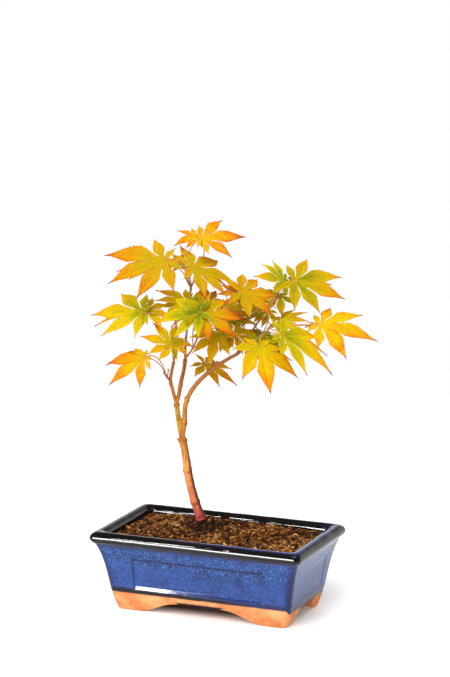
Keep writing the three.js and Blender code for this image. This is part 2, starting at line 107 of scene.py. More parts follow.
def ease(low: float, high: float, value: float) -> float:
    """Returns a smooth rise from 0 at low to 1 at high, or a fall where high is less than low."""
    share = max(0.0, min(1.0, (value - low) / (high - low)))
    return share * share * (3 - 2 * share)


def hump(value: float, middle: float, width: float) -> float:
    """Returns a round hump, 1 at its middle and nearly 0 two widths away."""
    return math.exp(-(((value - middle) / width) ** 2))


def tree_point(place: Place) -> Vector:
    """Turns side, depth and height into a point of the pot's frame.

    Args:
        place: the side, depth and height.

    Returns:
        The point.
    """
    side, depth, height = place
    turn_x, turn_y = math.cos(FRONT_TURN), math.sin(FRONT_TURN)
    return Vector((side * turn_x - depth * turn_y, side * turn_y + depth * turn_x, height))


def bearing_vector(bearing: float) -> Vector:
    """Returns a level direction: 0 is right, 90 away, 180 left and 270 to the front."""
    return tree_point((math.cos(math.radians(bearing)), math.sin(math.radians(bearing)), 0.0))


def ripple(point: Vector, size: float, seed: float = 0.0) -> float:
    """Returns noise from about -1 to 1 with ripples of a size, which differs for each seed."""
    return noise.noise(point / size + Vector((seed * 7.3, seed * 3.1, seed * 5.7)))


class Path:
    """A line through points, walked by distance from its start."""

    SPAN_STEPS = 14
    NEAR = 0.4

    def __init__(self, points: Sequence[Vector]) -> None:
        """Measures the line.

        Args:
            points: points close together along it.
        """
        self.points = list(points)
        self.marks = [0.0]
        for start, end in zip(self.points, self.points[1:]):
            self.marks.append(self.marks[-1] + (end - start).length)

    @classmethod
    def through(cls, way: Sequence[Place]) -> "Path":
        """Returns the smooth centripetal curve through a limb's places.

        Args:
            way: the places that it passes.

        Returns:
            The curve.
        """
        knots = [tree_point(place) for place in way]
        knots = [knots[0] * 2 - knots[1], *knots, knots[-1] * 2 - knots[-2]]
        points = []
        for span in zip(knots, knots[1:], knots[2:], knots[3:]):
            points += [cls._on_span(span, step / cls.SPAN_STEPS) for step in range(cls.SPAN_STEPS)]
        return cls([*points, knots[-2]])

    @classmethod
    def bent(cls, start: Vector, bend: Vector, end: Vector) -> "Path":
        """Returns the curve that leaves start towards bend and reaches end from it."""
        shares = [step / cls.SPAN_STEPS for step in range(cls.SPAN_STEPS + 1)]
        return cls([start.lerp(bend, s).lerp(bend.lerp(end, s), s) for s in shares])

    @staticmethod
    def _on_span(span: Sequence[Vector], share: float) -> Vector:
        """Returns the point a share of the way from the span's second knot to its third.

        Args:
            span: four knots in a row.
            share: from 0 to 1.

        Returns:
            The point.
        """
        marks = [0.0]
        for start, end in zip(span, span[1:]):
            marks.append(marks[-1] + math.sqrt((end - start).length))
        where = lerp(marks[1], marks[2], share)
        row = list(span)
        for level in (1, 2, 3):
            row = [
                row[k].lerp(row[k + 1], (where - marks[low]) / (marks[high] - marks[low]))
                for k, (low, high) in enumerate(Path._windows(level))
            ]
        return row[0]

    @staticmethod
    def _windows(level: int) -> list[tuple[int, int]]:
        """Returns the pairs of marks that each step of the curve's scheme reaches between."""
        return {1: [(0, 1), (1, 2), (2, 3)], 2: [(0, 2), (1, 3)], 3: [(1, 2)]}[level]

    @property
    def length(self) -> float:
        """The line's whole length."""
        return self.marks[-1]

    def at(self, distance: float) -> Vector:
        """Returns the point at a distance from the start.

        Args:
            distance: in millimetres.

        Returns:
            The point.
        """
        k = min(max(bisect_right(self.marks, distance) - 1, 0), len(self.points) - 2)
        share = (distance - self.marks[k]) / (self.marks[k + 1] - self.marks[k])
        return self.points[k].lerp(self.points[k + 1], share)

    def along(self, distance: float) -> Vector:
        """Returns the line's direction at a distance from the start.

        Args:
            distance: in millimetres.

        Returns:
            A vector one long.
        """
        before = max(0.0, distance - self.NEAR)
        after = min(self.length, distance + self.NEAR)
        return (self.at(after) - self.at(before)).normalized()


# ---------------- shader nodes


class Signal:
    """A socket of a shader node that can be used in sums."""

    def __init__(self, recipe: "Recipe", socket: bpy.types.NodeSocket) -> None:
        """Wraps a socket of a recipe's node."""
        self.recipe = recipe
        self.socket = socket

    def _sum(self, operation: str, first: "Signal | float", second: "Signal | float") -> "Signal":
        """Returns the output of a new Math node."""
        return self.recipe.node("ShaderNodeMath", {"operation": operation}, {0: first, 1: second})[0]

    def __add__(self, other: "Signal | float") -> "Signal":
        """Adds."""
        return self._sum("ADD", self, other)

    def __radd__(self, other: float) -> "Signal":
        """Adds to a number."""
        return self._sum("ADD", other, self)

    def __sub__(self, other: "Signal | float") -> "Signal":
        """Subtracts."""
        return self._sum("SUBTRACT", self, other)

    def __rsub__(self, other: float) -> "Signal":
        """Subtracts from a number."""
        return self._sum("SUBTRACT", other, self)

    def __mul__(self, other: "Signal | float") -> "Signal":
        """Multiplies."""
        return self._sum("MULTIPLY", self, other)

    def __rmul__(self, other: float) -> "Signal":
        """Multiplies a number."""
        return self._sum("MULTIPLY", other, self)

    def rise(self, low: float, high: float) -> "Signal":
        """Returns a smooth rise from 0 where this is low to 1 where it is high."""
        values = {"Value": self, "From Min": low, "From Max": high}
        return self.recipe.node("ShaderNodeMapRange", {"interpolation_type": "SMOOTHSTEP"}, values)[0]


class Made:
    """A node that a recipe made, whose outputs are read by name or number."""

    def __init__(self, recipe: "Recipe", node: bpy.types.Node) -> None:
        """Wraps a node of a recipe."""
        self.recipe = recipe
        self.node = node

    def __getitem__(self, key: str | int) -> Signal:
        """Returns one output."""
        return Signal(self.recipe, self.node.outputs[key])


class Recipe:
    """The nodes of one tree, which end in its Principled shader or its Background."""

    def __init__(self, tree: bpy.types.NodeTree, end: str = "Principled BSDF") -> None:
        """Takes up a tree.

        Args:
            tree: a material's nodes or the world's.
            end: the name of the node that they end in.
        """
        self.tree = tree
        self.shader = tree.nodes[end]
        self.material: bpy.types.Material | None = None

    @classmethod
    def of(cls, name: str) -> "Recipe":
        """Returns the recipe of a new material with a name.

        Args:
            name: the material's name.

        Returns:
            The recipe, which keeps the material.
        """
        material = bpy.data.materials.new(name)
        material.use_nodes = True
        recipe = cls(material.node_tree)
        recipe.material = material
        return recipe

    def node(
        self, kind: str, settings: dict[str, Any] | None = None, values: dict[Any, Any] | None = None
    ) -> Made:
        """Makes a node.

        Args:
            kind: the node's type.
            settings: its own settings, or "stops" for a ramp's places and colours; they are set first.
            values: what goes into its sockets, as numbers, colours or signals.

        Returns:
            The node, for its outputs.
        """
        made = self.tree.nodes.new(kind)
        for name, value in (settings or {}).items():
            if name == "stops":
                self._set_stops(made.color_ramp, value)
            else:
                setattr(made, name, value)
        for key, value in (values or {}).items():
            self._feed(made.inputs[key], value)
        return Made(self, made)

    def _set_stops(self, ramp: bpy.types.ColorRamp, stops: Sequence[tuple[float, Colour]]) -> None:
        """Gives a ramp its stops.

        Args:
            ramp: the ramp.
            stops: the place and colour of each.
        """
        while len(ramp.elements) < len(stops):
            ramp.elements.new(1.0)
        for element, (place, colour) in zip(ramp.elements, stops):
            element.position = place
            element.color = colour

    def _feed(self, socket: bpy.types.NodeSocket, value: Any) -> None:
        """Links a signal to a socket, or sets its value.

        Args:
            socket: the socket.
            value: a signal, number or colour.
        """
        if isinstance(value, Signal):
            self.tree.links.new(value.socket, socket)
        else:
            socket.default_value = value

    def place(self) -> Signal:
        """Returns the place on the piece, in metres."""
        return self.node("ShaderNodeTexCoord")["Object"]

    def sides(self, vector: Signal) -> Made:
        """Takes a vector apart into X, Y and Z."""
        return self.node("ShaderNodeSeparateXYZ", {}, {0: vector})

    def height(self) -> Signal:
        """Returns the height above the ground, in millimetres."""
        return self.sides(self.place())["Z"] * (1 / MM)

    def painted(self, name: str) -> Signal:
        """Returns a number that the mesh keeps at its points."""
        return self.node("ShaderNodeAttribute", {"attribute_name": name})["Fac"]

    def stretched(self, x: float, y: float, z: float) -> Signal:
        """Returns the place with its sides scaled, to draw a pattern out."""
        values = {0: self.place(), 1: (x, y, z)}
        return self.node("ShaderNodeVectorMath", {"operation": "MULTIPLY"}, values)[0]

    def cloud(self, size: float, detail: float = 3.0, where: Signal | None = None) -> Signal:
        """Returns noise from 0 to 1 in clouds of a size in millimetres, with finer layers on them."""
        values = {"Vector": where or self.place(), "Scale": 1 / (size * MM), "Detail": detail}
        return self.node("ShaderNodeTexNoise", {}, values)[0]

    def blend(self, share: Signal | float, first: Signal | Colour, second: Signal | Colour) -> Signal:
        """Mixes two colours."""
        values = {0: share, 6: first, 7: second}
        return self.node("ShaderNodeMix", {"data_type": "RGBA"}, values)[2]

    def ramp(self, share: Signal, stops: Sequence[tuple[float, Colour]]) -> Signal:
        """Returns the colour that a ramp has at a share."""
        return self.node("ShaderNodeValToRGB", {"stops": stops}, {0: share})[0]

    def relief(self, height: Signal, depth: float) -> Signal:
        """Returns the normals of a fine relief, whose depth is in millimetres."""
        return self.node("ShaderNodeBump", {}, {"Distance": depth * MM, "Height": height})[0]

    def finish(self, **sockets: Any) -> bpy.types.Material | None:
        """Sets the sockets of the node that the tree ends in.

        Args:
            sockets: socket names with _ for each space, and what goes into them.

        Returns:
            The material, where the tree is a material's.
        """
        for name, value in sockets.items():
            self._feed(self.shader.inputs[name.replace("_", " ")], value)
        return self.material


# ---------------- finishes


class Finish(Protocol):
    """Something that makes a material."""

    def material(self) -> bpy.types.Material:
        """Makes the material."""


@dataclass(frozen=True)
class Clay:
    """Unglazed orange clay with a fine grain, darker where dirt and glaze have stained it, and with a
    colour for painted shade under the pot.
    """

    light: Colour = (0.8, 0.355, 0.14, 1)
    dark: Colour = (0.58, 0.18, 0.05, 1)
    stain: Colour = (0.3, 0.1, 0.035, 1)
    # painted shade for the clay's lowest band over the arches, where the pot's underside is in shade
    arch_shade: Colour = (0.02, 0.008, 0.005, 1)
    roughness: float = 0.85

    def colour(self, recipe: Recipe) -> Signal:
        """Returns the clay's colour, cloudy and freckled.

        Args:
            recipe: the material's nodes.

        Returns:
            The colour.
        """
        clouds = (recipe.cloud(14, 4) * 0.75 + recipe.cloud(1.5, 2) * 0.25).rise(0.36, 0.62)
        ground = recipe.blend(clouds, self.dark, self.light)
        freckles = recipe.cloud(1.2, 3).rise(0.64, 0.74) * 0.5
        return recipe.blend(freckles, ground, self.stain)

    def grain(self, recipe: Recipe) -> Signal:
        """Returns the height of its fine grain."""
        return recipe.cloud(0.7, 4) * 0.7 + recipe.cloud(5, 3)

    def material(self) -> bpy.types.Material:
        """Makes the bare clay of the feet, stained along the soles.

        Returns:
            The material.
        """
        recipe = Recipe.of("clay")
        worn = (recipe.height() + 2 * recipe.cloud(5, 3)).rise(2.3, 0.9) * 0.45
        return recipe.finish(
            Base_Color=recipe.blend(worn, self.colour(recipe), self.stain),
            Roughness=self.roughness - 0.12 * recipe.cloud(3),
            Specular_IOR_Level=0.15,
            Normal=recipe.relief(self.grain(recipe), 0.25),
        )


@dataclass(frozen=True)
class Glaze:
    """A thick cobalt glaze, mottled and speckled, that turns nearly black on the rim and edges, with
    painted shade under its panels' upper edges and over the arches.
    """

    clay: Clay
    deep: Colour = (0.008, 0.022, 0.12, 1)
    cobalt: Colour = (0.019, 0.056, 0.25, 1)
    pale: Colour = (0.075, 0.23, 0.6, 1)
    navy: Colour = (0.009, 0.019, 0.09, 1)
    broken: Colour = (0.005, 0.004, 0.005, 1)
    roughness: float = 0.07

    def _blue(self, recipe: Recipe) -> Signal:
        """Returns the glaze's own colour, before it breaks over edges.

        Args:
            recipe: the material's nodes.

        Returns:
            The colour.
        """
        bright = recipe.painted("bright")
        drift = recipe.cloud(15, 3) * 0.45 + recipe.cloud(2.8, 3) * 0.55
        ground = recipe.blend(drift.rise(0.36, 0.6), self.deep, self.cobalt)
        speckle = recipe.cloud(1.15, 3).rise(0.5, 0.6) * (bright * 0.7 + 0.14)
        pits = recipe.cloud(1.15, 2, recipe.stretched(1.1, 1.1, 1.3)).rise(0.52, 0.6)
        return recipe.blend(
            pits * (bright * 0.85 + 0.12), recipe.blend(speckle, ground, self.pale), self.broken
        )

    def material(self) -> bpy.types.Material:
        """Makes the glaze, with the clay bare below its lower edge and a painted shade over the arches.

        Returns:
            The material.
        """
        recipe = Recipe.of("blue_glaze")
        above_edge = recipe.painted("above_edge")
        # edge also holds the painted shade under the panels' upper edges
        edge = recipe.painted("edge") + 0.5 * recipe.cloud(1.5, 3) + 0.35 * recipe.cloud(17, 2) - 0.425
        glazed = (above_edge + 1.6 * recipe.cloud(12, 3) - 0.8).rise(-0.3, 0.15)
        thin = recipe.blend(edge.rise(0.08, 0.5), self._blue(recipe), self.navy)
        glaze = recipe.blend(edge.rise(0.6, 0.92), thin, self.broken)
        lipped = above_edge.rise(-2.2, 0) * 0.55
        clay = recipe.blend(lipped, self.clay.colour(recipe), self.clay.dark)
        # painted shade on the clay's lowest band over the arches
        arch_shaded = recipe.blend(recipe.painted("arch_shade"), clay, self.clay.arch_shade)
        peel = 0.1 * recipe.cloud(4, 2) + 0.015 * recipe.cloud(0.9, 2)
        relief = (peel + 1.5) * glazed + self.clay.grain(recipe) * (0.6 - 0.6 * glazed)
        return recipe.finish(
            Base_Color=recipe.blend(glazed, arch_shaded, glaze),
            Roughness=self.clay.roughness - glazed * (self.clay.roughness - self.roughness),
            Specular_IOR_Level=0.27,
            Normal=recipe.relief(relief, 0.22),
        )


@dataclass(frozen=True)
class Bark:
    """Smooth young bark: red at the foot, then salmon, ochre and olive, brown on the boughs."""

    STOPS = (
        (0.0, (0.42, 0.02, 0.06, 1)),
        (0.035, (0.6, 0.07, 0.07, 1)),
        (0.09, (0.8, 0.2, 0.06, 1)),
        (0.2, (0.84, 0.28, 0.08, 1)),
        (0.3, (0.74, 0.31, 0.05, 1)),
        (0.42, (0.52, 0.19, 0.016, 1)),
        (0.56, (0.52, 0.22, 0.012, 1)),
        (0.66, (0.5, 0.18, 0.012, 1)),
        (1.0, (0.4, 0.1, 0.015, 1)),
    )

    low: float
    high: float
    scar: Colour = (0.22, 0.04, 0.02, 1)
    shade: Colour = (0.36, 0.075, 0.012, 1)
    # painted shade for the side of the trunk turned from the light
    shaded_side: Colour = (0.1, 0.016, 0.022, 1)
    olive: Colour = (0.56, 0.33, 0.012, 1)
    pore: Colour = (0.95, 0.6, 0.3, 1)

    def material(self) -> bpy.types.Material:
        """Makes the bark, whose colour follows its height and its joints, with painted shade on the side
        turned from the light.

        Returns:
            The material.
        """
        recipe = Recipe.of("bark")
        climb = (recipe.height() - self.low) * (1 / (self.high - self.low))
        drift = climb + 0.08 * recipe.cloud(9, 3) - 0.04
        streaks = recipe.cloud(1.5, 4, recipe.stretched(1, 1, 0.16))
        freckles = recipe.cloud(0.9, 3).rise(0.56, 0.68)
        pores = recipe.cloud(0.8, 2, recipe.stretched(1, 1, 1.6)).rise(0.6, 0.68)
        toned = recipe.blend(recipe.painted("olive") * 0.8, recipe.ramp(drift, self.STOPS), self.olive)
        ground = recipe.blend(streaks.rise(0.46, 0.62) * 0.8, toned, self.shade)
        freckled = recipe.blend(pores * 0.5, recipe.blend(freckles * 0.5, ground, self.scar), self.pore)
        # painted shade on the side turned from the light
        turned = recipe.blend(recipe.painted("shaded_side") * 0.92, freckled, self.shaded_side)
        return recipe.finish(
            Base_Color=recipe.blend(recipe.painted("scar"), turned, self.scar),
            Roughness=0.42 + 0.3 * recipe.cloud(2, 3),
            Specular_IOR_Level=0.14,
            Normal=recipe.relief(streaks + 0.5 * recipe.cloud(0.5, 3), 0.3),
        )


@dataclass(frozen=True)
class Skin:
    """The skin of a twig, a leaf's stalk or a bud."""

    name: str
    first: Colour
    second: Colour
    roughness: float = 0.5

    def material(self) -> bpy.types.Material:
        """Makes the skin, drifting between its two colours.

        Returns:
            The material.
        """
        recipe = Recipe.of(self.name)
        return recipe.finish(
            Base_Color=recipe.blend(recipe.cloud(7, 3).rise(0.35, 0.65), self.first, self.second),
            Roughness=self.roughness + 0.2 * recipe.cloud(1, 2) - 0.1,
            Normal=recipe.relief(recipe.cloud(0.6, 3), 0.12),
        )


@dataclass(frozen=True)
class LeafTone:
    """One of the plain tones that the leaves are dealt, satin and a little translucent."""

    number: int
    colour: Colour
    translucence: float = 0.8
    light_reach: float = 2 * MM
    light_tint: Place = (1, 0.8, 0.2)

    def material(self) -> bpy.types.Material:
        """Makes the tone.

        Returns:
            The material.
        """
        recipe = Recipe.of(f"leaf_{self.number:02d}")
        return recipe.finish(
            Base_Color=self.colour,
            Roughness=0.45 + 0.25 * recipe.cloud(1.2, 3),
            Specular_IOR_Level=0.04,
            Subsurface_Weight=self.translucence,
            Subsurface_Scale=self.light_reach,
            Subsurface_Radius=self.light_tint,
            Normal=recipe.relief(recipe.cloud(0.8, 3), 0.1),
        )


@dataclass(frozen=True)
class Crumb:
    """One tone of the compost's chips and fibres."""

    name: str
    colour: Colour
    damp: float = 0.25

    def material(self) -> bpy.types.Material:
        """Makes the crumb, darker in its grain.

        Returns:
            The material.
        """
        recipe = Recipe.of(self.name)
        grain = recipe.cloud(0.9, 4)
        damp = tuple(self.damp * value for value in self.colour[:3])
        return recipe.finish(
            Base_Color=recipe.blend(grain.rise(0.35, 0.68), (*damp, 1), self.colour),
            Roughness=0.62 + 0.3 * grain,
            Specular_IOR_Level=0.1,
            Normal=recipe.relief(grain, 0.3),
        )


@dataclass(frozen=True)
class Floor:
    """A plain pale floor that glows evenly, with a painted shadow under the pot.

    The spans left, right, front and back go from where the painted shadow starts to where it is full.
    """

    colour: Colour = (0.93, 0.93, 0.935, 1)
    # The next two colours paint the shadow under the pot: a darker floor colour and no glow there.
    dark: Colour = (0.1, 0.085, 0.085, 1)
    shadow_emission: Colour = (0, 0, 0, 1)
    glow: float = 0.18
    left: Pair = (-84, -52)
    right: Pair = (80, 48)
    front: Pair = (-34, -14)
    back: Pair = (34, 14)

    def _painted_shadow_under_pot(self, recipe: Recipe) -> Signal:
        """Returns the painted shadow under the pot: how far under it a place lies, from 0 to 1.

        Args:
            recipe: the material's nodes.

        Returns:
            The share.
        """
        way = recipe.sides(recipe.place())
        x = (way["X"] - POT_MIDDLE.x) * (1 / MM)
        y = (way["Y"] - POT_MIDDLE.y) * (1 / MM)
        return x.rise(*self.left) * x.rise(*self.right) * y.rise(*self.front) * y.rise(*self.back)

    def material(self) -> bpy.types.Material:
        """Makes the floor's paint, with its painted shadow under the pot.

        Returns:
            The material.
        """
        recipe = Recipe.of("floor")
        # under is the share of painted shadow under the pot.
        under = self._painted_shadow_under_pot(recipe)
        return recipe.finish(
            Base_Color=recipe.blend(under, self.colour, self.dark),
            Roughness=0.6 + 0.1 * recipe.cloud(80),
            Emission_Color=recipe.blend(under, self.colour, self.shadow_emission),
            Emission_Strength=self.glow,
        )


class Ripening:
    """The row of tones from dark green through lime, gold and amber to red-orange, and a darker copy of
    it as painted shade.
    """

    COUNT = 24
    # darkens the bright row into its copy of painted shade
    SHADE_FACTORS = (0.76, 0.76, 0.8)
    STOPS = (
        (0.0, (0.05, 0.075, 0.002)),
        (0.15, (0.13, 0.16, 0.002)),
        (0.3, (0.27, 0.27, 0.002)),
        (0.45, (0.44, 0.34, 0.002)),
        (0.6, (0.58, 0.33, 0.002)),
        (0.75, (0.62, 0.21, 0.002)),
        (0.88, (0.5, 0.1, 0.006)),
        (1.0, (0.22, 0.035, 0.015)),
    )

    def tone(self, ripeness: float, shaded_copy: bool) -> int:
        """Returns the number of the tone nearest to a ripeness, in the bright row or its painted-shade
        copy.
        """
        return max(0, min(self.COUNT - 1, round(ripeness * (self.COUNT - 1)))) + self.COUNT * shaded_copy

    def finishes(self) -> list[LeafTone]:
        """Returns all the tones: the bright row, then its darker copy of painted shade.

        Returns:
            One finish for each tone.
        """
        bright = [self._colour(k / (self.COUNT - 1)) for k in range(self.COUNT)]
        shaded_copy = [(*(value * by for value, by in zip(colour, self.SHADE_FACTORS)), 1.0) for colour in bright]
        return [LeafTone(number, colour) for number, colour in enumerate([*bright, *shaded_copy])]

    def _colour(self, ripeness: float) -> Colour:
        """Returns the colour at a ripeness.

        Args:
            ripeness: from 0 to 1.

        Returns:
            The colour.
        """
        for (low, before), (high, after) in zip(self.STOPS, self.STOPS[1:]):
            if ripeness <= high:
                share = (ripeness - low) / (high - low)
                return (*(lerp(a, b, share) for a, b in zip(before, after)), 1.0)
        return (*self.STOPS[-1][1], 1.0)


# ---------------- making pieces


class MeshMaker:
    """Collects points, faces and tones for one piece."""

    def __init__(self) -> None:
        """Starts with nothing."""
        self.points: list[Vector] = []
        self.faces: list[tuple[int, ...]] = []
        self.tones: list[int] = []

    def add(
        self, points: Sequence[Vector], faces: Sequence[Sequence[int]], tones: int | Sequence[int] = 0
    ) -> None:
        """Adds a closed shape.

        Args:
            points: its points, in millimetres.
            faces: its faces, as numbers of its own points.
            tones: the tone of them all, or of each face.
        """
        start = len(self.points)
        self.points.extend(points)
        self.faces.extend(tuple(start + k for k in face) for face in faces)
        self.tones.extend([tones] * len(faces) if isinstance(tones, int) else tones)

    def loft(self, rings: Sequence[Sequence[Vector]], tone: int = 0) -> None:
        """Adds a closed shape through rings that all have the same count of points.

        Args:
            rings: the rings, from its first end to its last.
            tone: its tone.
        """
        count = len(rings[0])
        points = [point for ring in rings for point in ring]
        faces = [tuple(reversed(range(count)))]
        for level in range(len(rings) - 1):
            for k in range(count):
                a, b = level * count + k, level * count + (k + 1) % count
                faces.append((a, b, b + count, a + count))
        faces.append(tuple(range((len(rings) - 1) * count, len(points))))
        self.add(points, faces, tone)

    def tube(
        self, path: Path, radius_at: Callable[[float], float], step: float, sides: int, tone: int = 0
    ) -> None:
        """Adds a tube along a path.

        Args:
            path: its middle line.
            radius_at: gives its radius at a distance along the path.
            step: the distance between its rings.
            sides: the points of each ring.
            tone: its tone.
        """
        steps = max(2, round(path.length / step))
        distances = [lerp(0.0, path.length, k / steps) for k in range(steps + 1)]
        across = Vector((0.31, -0.95, 0.05))
        rings = []
        for distance in distances:
            along = path.along(distance)
            across = (across - along * across.dot(along)).normalized()
            up = along.cross(across)
            middle, radius = path.at(distance), radius_at(distance)
            turns = [2 * math.pi * k / sides for k in range(sides)]
            rings.append([middle + (across * math.cos(t) + up * math.sin(t)) * radius for t in turns])
        self.loft(rings, tone)

    def bud(self, foot: Vector, way: Vector, length: float, tone: int) -> None:
        """Adds a pointed bud that stands on foot and points along way.

        Args:
            foot: where it stands.
            way: where it points.
            length: its length.
            tone: its tone.
        """
        path = Path([foot + way * length * k / 4 for k in range(5)])
        girth = 0.27 * length
        self.tube(
            path, lambda d: girth * math.sin(math.pi * lerp(0.3, 0.97, d / length)) + 0.05,
            length / 5, 6, tone,
        )

    def piece(self, name: str, finishes: Sequence[Finish], crease: float = 40) -> bpy.types.Object:
        """Makes the piece.

        Args:
            name: its name.
            finishes: one for each tone.
            crease: faces that meet at more than this many degrees keep a sharp edge.

        Returns:
            The new object.
        """
        mesh = bpy.data.meshes.new(name)
        mesh.from_pydata([POT_MIDDLE + point * MM for point in self.points], [], self.faces)
        for finish in finishes:
            mesh.materials.append(MATERIALS.get(finish))
        mesh.polygons.foreach_set("material_index", self.tones)
        mesh.shade_smooth()
        mesh.set_sharp_from_angle(angle=math.radians(crease))
        mesh.update()
        return put_in_scene(mesh)


class Materials:
    """Makes each finish's material once."""

    def __init__(self) -> None:
        """Starts with none."""
        self._made: dict[Finish, bpy.types.Material] = {}

    def get(self, finish: Finish) -> bpy.types.Material:
        """Returns a finish's material, and makes it the first time.

        Args:
            finish: the finish.

        Returns:
            Its material.
        """
        if finish not in self._made:
            self._made[finish] = finish.material()
        return self._made[finish]


MATERIALS = Materials()


def put_in_scene(data: bpy.types.ID) -> bpy.types.Object:
    """Makes an object of a mesh, lamp or camera, with the same name.

    Args:
        data: the mesh, lamp or camera.

    Returns:
        The object.
    """
    made = bpy.data.objects.new(data.name, data)
    bpy.context.scene.collection.objects.link(made)
    return made


def settle(piece: bpy.types.Object, slot: str, *nodes: str) -> None:
    """Rides a piece on the part's one body.

    Args:
        piece: the piece.
        slot: not used.
        nodes: the solids that it stands for.
    """
    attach(piece, BODY)
    if nodes:
        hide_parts(*nodes)
    LOG.info("%s: %d faces, for %s", piece.name, len(piece.data.polygons), ", ".join(nodes) or "itself")


def paint(piece: bpy.types.Object, name: str, values: Sequence[float]) -> None:
    """Keeps a number at each point of a piece's mesh, for its finish to read."""
    piece.data.attributes.new(name, "FLOAT", "POINT").data.foreach_set("value", values)


# ---------------- pot


@dataclass
class Pot:
    """The long pot with its rolled rim and sunk panels."""

    length: float = 200
    width: float = 118
    corner: float = 5
    foot_height: float = 12
    floor_top: float = 20
    rim_width: float = 12.5
    rim_height: float = 11
    rim_middle: float = 67
    rim_start: float = 61.5
    base_inset: float = 15.6
    wall_slope: float = 0.17
    lip_flare: float = 5.6
    floor_inset: float = 21.5
    panel_depth: float = 1.95
    panel_bottom: float = 21.8
    panel_top: float = 50
    panel_half_length: float = 62
    panel_half_width: float = 30
    panel_edge: float = 1.3
    panel_ledge: float = 2.8
    end_panel: float = 0.2
    glaze_edge: float = 17.3
    end_glaze_edge: float = 14
    glaze_roll: float = 0.35
    wall_wave: float = 0.02
    rim_wave: float = 0.16
    mouth: float = 60
    corner_steps: int = 10
    rim_steps: int = 24
    clay: Clay = field(default_factory=Clay)

    def wall_inset(self, height: float) -> float:
        """Returns how far the outer wall lies inside the rim at a height.

        Args:
            height: the height.

        Returns:
            The inset, which is less where the glaze covers the clay.
        """
        climb = height - self.foot_height
        share = climb / (self.rim_middle - self.foot_height)
        inset = self.base_inset - self.wall_slope * climb - self.lip_flare * share**5
        return inset - self.glaze_roll * ease(self.glaze_edge - 0.5, self.glaze_edge + 0.4, height)

    def hollow_inset(self, height: float) -> float:
        """Returns how far the hollow's wall lies inside the rim at a height."""
        share = (height - self.floor_top) / (self.rim_middle - self.floor_top)
        return lerp(self.floor_inset, self.rim_width, share)

    def _places(self, half: float, panel_half: float) -> list[float]:
        """Returns places along a straight side, close together at the panel's edges.

        Args:
            half: half the straight side's length.
            panel_half: half the panel's length.

        Returns:
            The places, in order.
        """
        close = 2.4
        outer = [lerp(half, panel_half + close, k / 6) for k in range(1, 6)]
        edge = [panel_half + close - 0.4 * k for k in range(13)]
        start = panel_half - close
        steps = round(start / 3)
        middle = [lerp(start, 0, k / steps) for k in range(1, steps)]
        right = [*outer, *edge, *middle]
        return [*right, 0.0, *(-place for place in reversed(right))]

    def ring(self, inset: float, height: float) -> list[Vector]:
        """Returns the points round the pot at an inset from the rim.

        Args:
            inset: the inset.
            height: the height of them all.

        Returns:
            The points, in order.
        """
        long = self.length / 2 - inset - self.corner
        wide = self.width / 2 - inset - self.corner
        points = []
        for turn, (x, y) in enumerate(((long, wide), (-long, wide), (-long, -wide), (long, -wide))):
            for k in range(self.corner_steps + 1):
                angle = (turn + k / self.corner_steps) * math.pi / 2
                across, away = self.corner * math.cos(angle), self.corner * math.sin(angle)
                points.append(Vector((x + across, y + away, height)))
            if turn % 2:
                places = self._places(wide, self.panel_half_width)
                out = math.copysign(long + self.corner, x)
                points += [Vector((out, place * (1 if y > 0 else -1), height)) for place in places]
            else:
                places = self._places(long, self.panel_half_length)
                out = math.copysign(wide + self.corner, y)
                points += [Vector((place * (1 if x > 0 else -1), out, height)) for place in places]
        return points

    def _on_end(self, point: Vector) -> bool:
        """Returns whether a point of the wall lies on one of the pot's short ends."""
        return abs(point.x) > self.length / 2 - self.wall_inset(point.z) - self.corner

    def _sunk(self, point: Vector) -> Vector:
        """Moves a point of the wall in where it lies on a panel, whose lower edge is a wide ledge.

        Args:
            point: a point of the plain wall.

        Returns:
            The moved point.
        """
        on_end = self._on_end(point)
        along, half = (point.y, self.panel_half_width) if on_end else (point.x, self.panel_half_length)
        depth = self.panel_depth * (self.end_panel if on_end else 1)
        ledge = (point.z - self.panel_bottom + 0.8) / self.panel_ledge
        depth *= max(0.0, min(1.0, ledge)) * ease(-0.3, self.panel_edge, self.panel_top - point.z)
        depth *= ease(-0.3, self.panel_edge, half - abs(along))
        moved = point.copy()
        if on_end:
            moved.x -= math.copysign(depth, point.x)
        else:
            moved.y -= math.copysign(depth, point.y)
        return moved

    def _wavy(self, point: Vector, amount: float) -> Vector:
        """Moves a point a little, as hand-poured glaze runs."""
        drift = Vector([ripple(point, 14, seed) + 0.5 * ripple(point, 5, seed) for seed in (1, 2, 3)])
        return point + drift * amount

    def _wall(self) -> list[list[Vector]]:
        """Returns the rings of the outer wall, from its foot to the rim.

        Returns:
            The rings.
        """
        close = [round(-1.2 + 0.4 * k, 1) for k in range(9)]
        kinks = (-0.85, -0.75, 1.95, 2.05)
        heights = {self.foot_height - 0.05, 12.6, 13.2, 13.8, 14.4, 15, 16, 16.4, 16.8, 17.2, 18, 19.5}
        heights |= {52, 54, 56, 58, 60, self.rim_start} | {26.0 + 2.2 * k for k in range(11)}
        heights |= {self.panel_bottom + step for step in (*close, *kinks)}
        heights |= {self.panel_top + step - 0.8 for step in close}
        rings = []
        for height in sorted(heights):
            ring = self.ring(self.wall_inset(height), height)
            rings.append([self._wavy(self._sunk(point), self.wall_wave) for point in ring])
        return rings

    def _rim(self) -> list[list[Vector]]:
        """Returns the rings of the rolled rim, from under its outer edge over to the mouth.

        Returns:
            The rings.
        """
        rings = []
        for k in range(self.rim_steps + 1):
            angle = math.radians(lerp(-48, 180, k / self.rim_steps))
            inset = self.rim_width / 2 * (1 - math.cos(angle))
            height = self.rim_middle + self.rim_height / 2 * math.sin(angle)
            rings.append([self._wavy(point, self.rim_wave) for point in self.ring(inset, height)])
        return rings

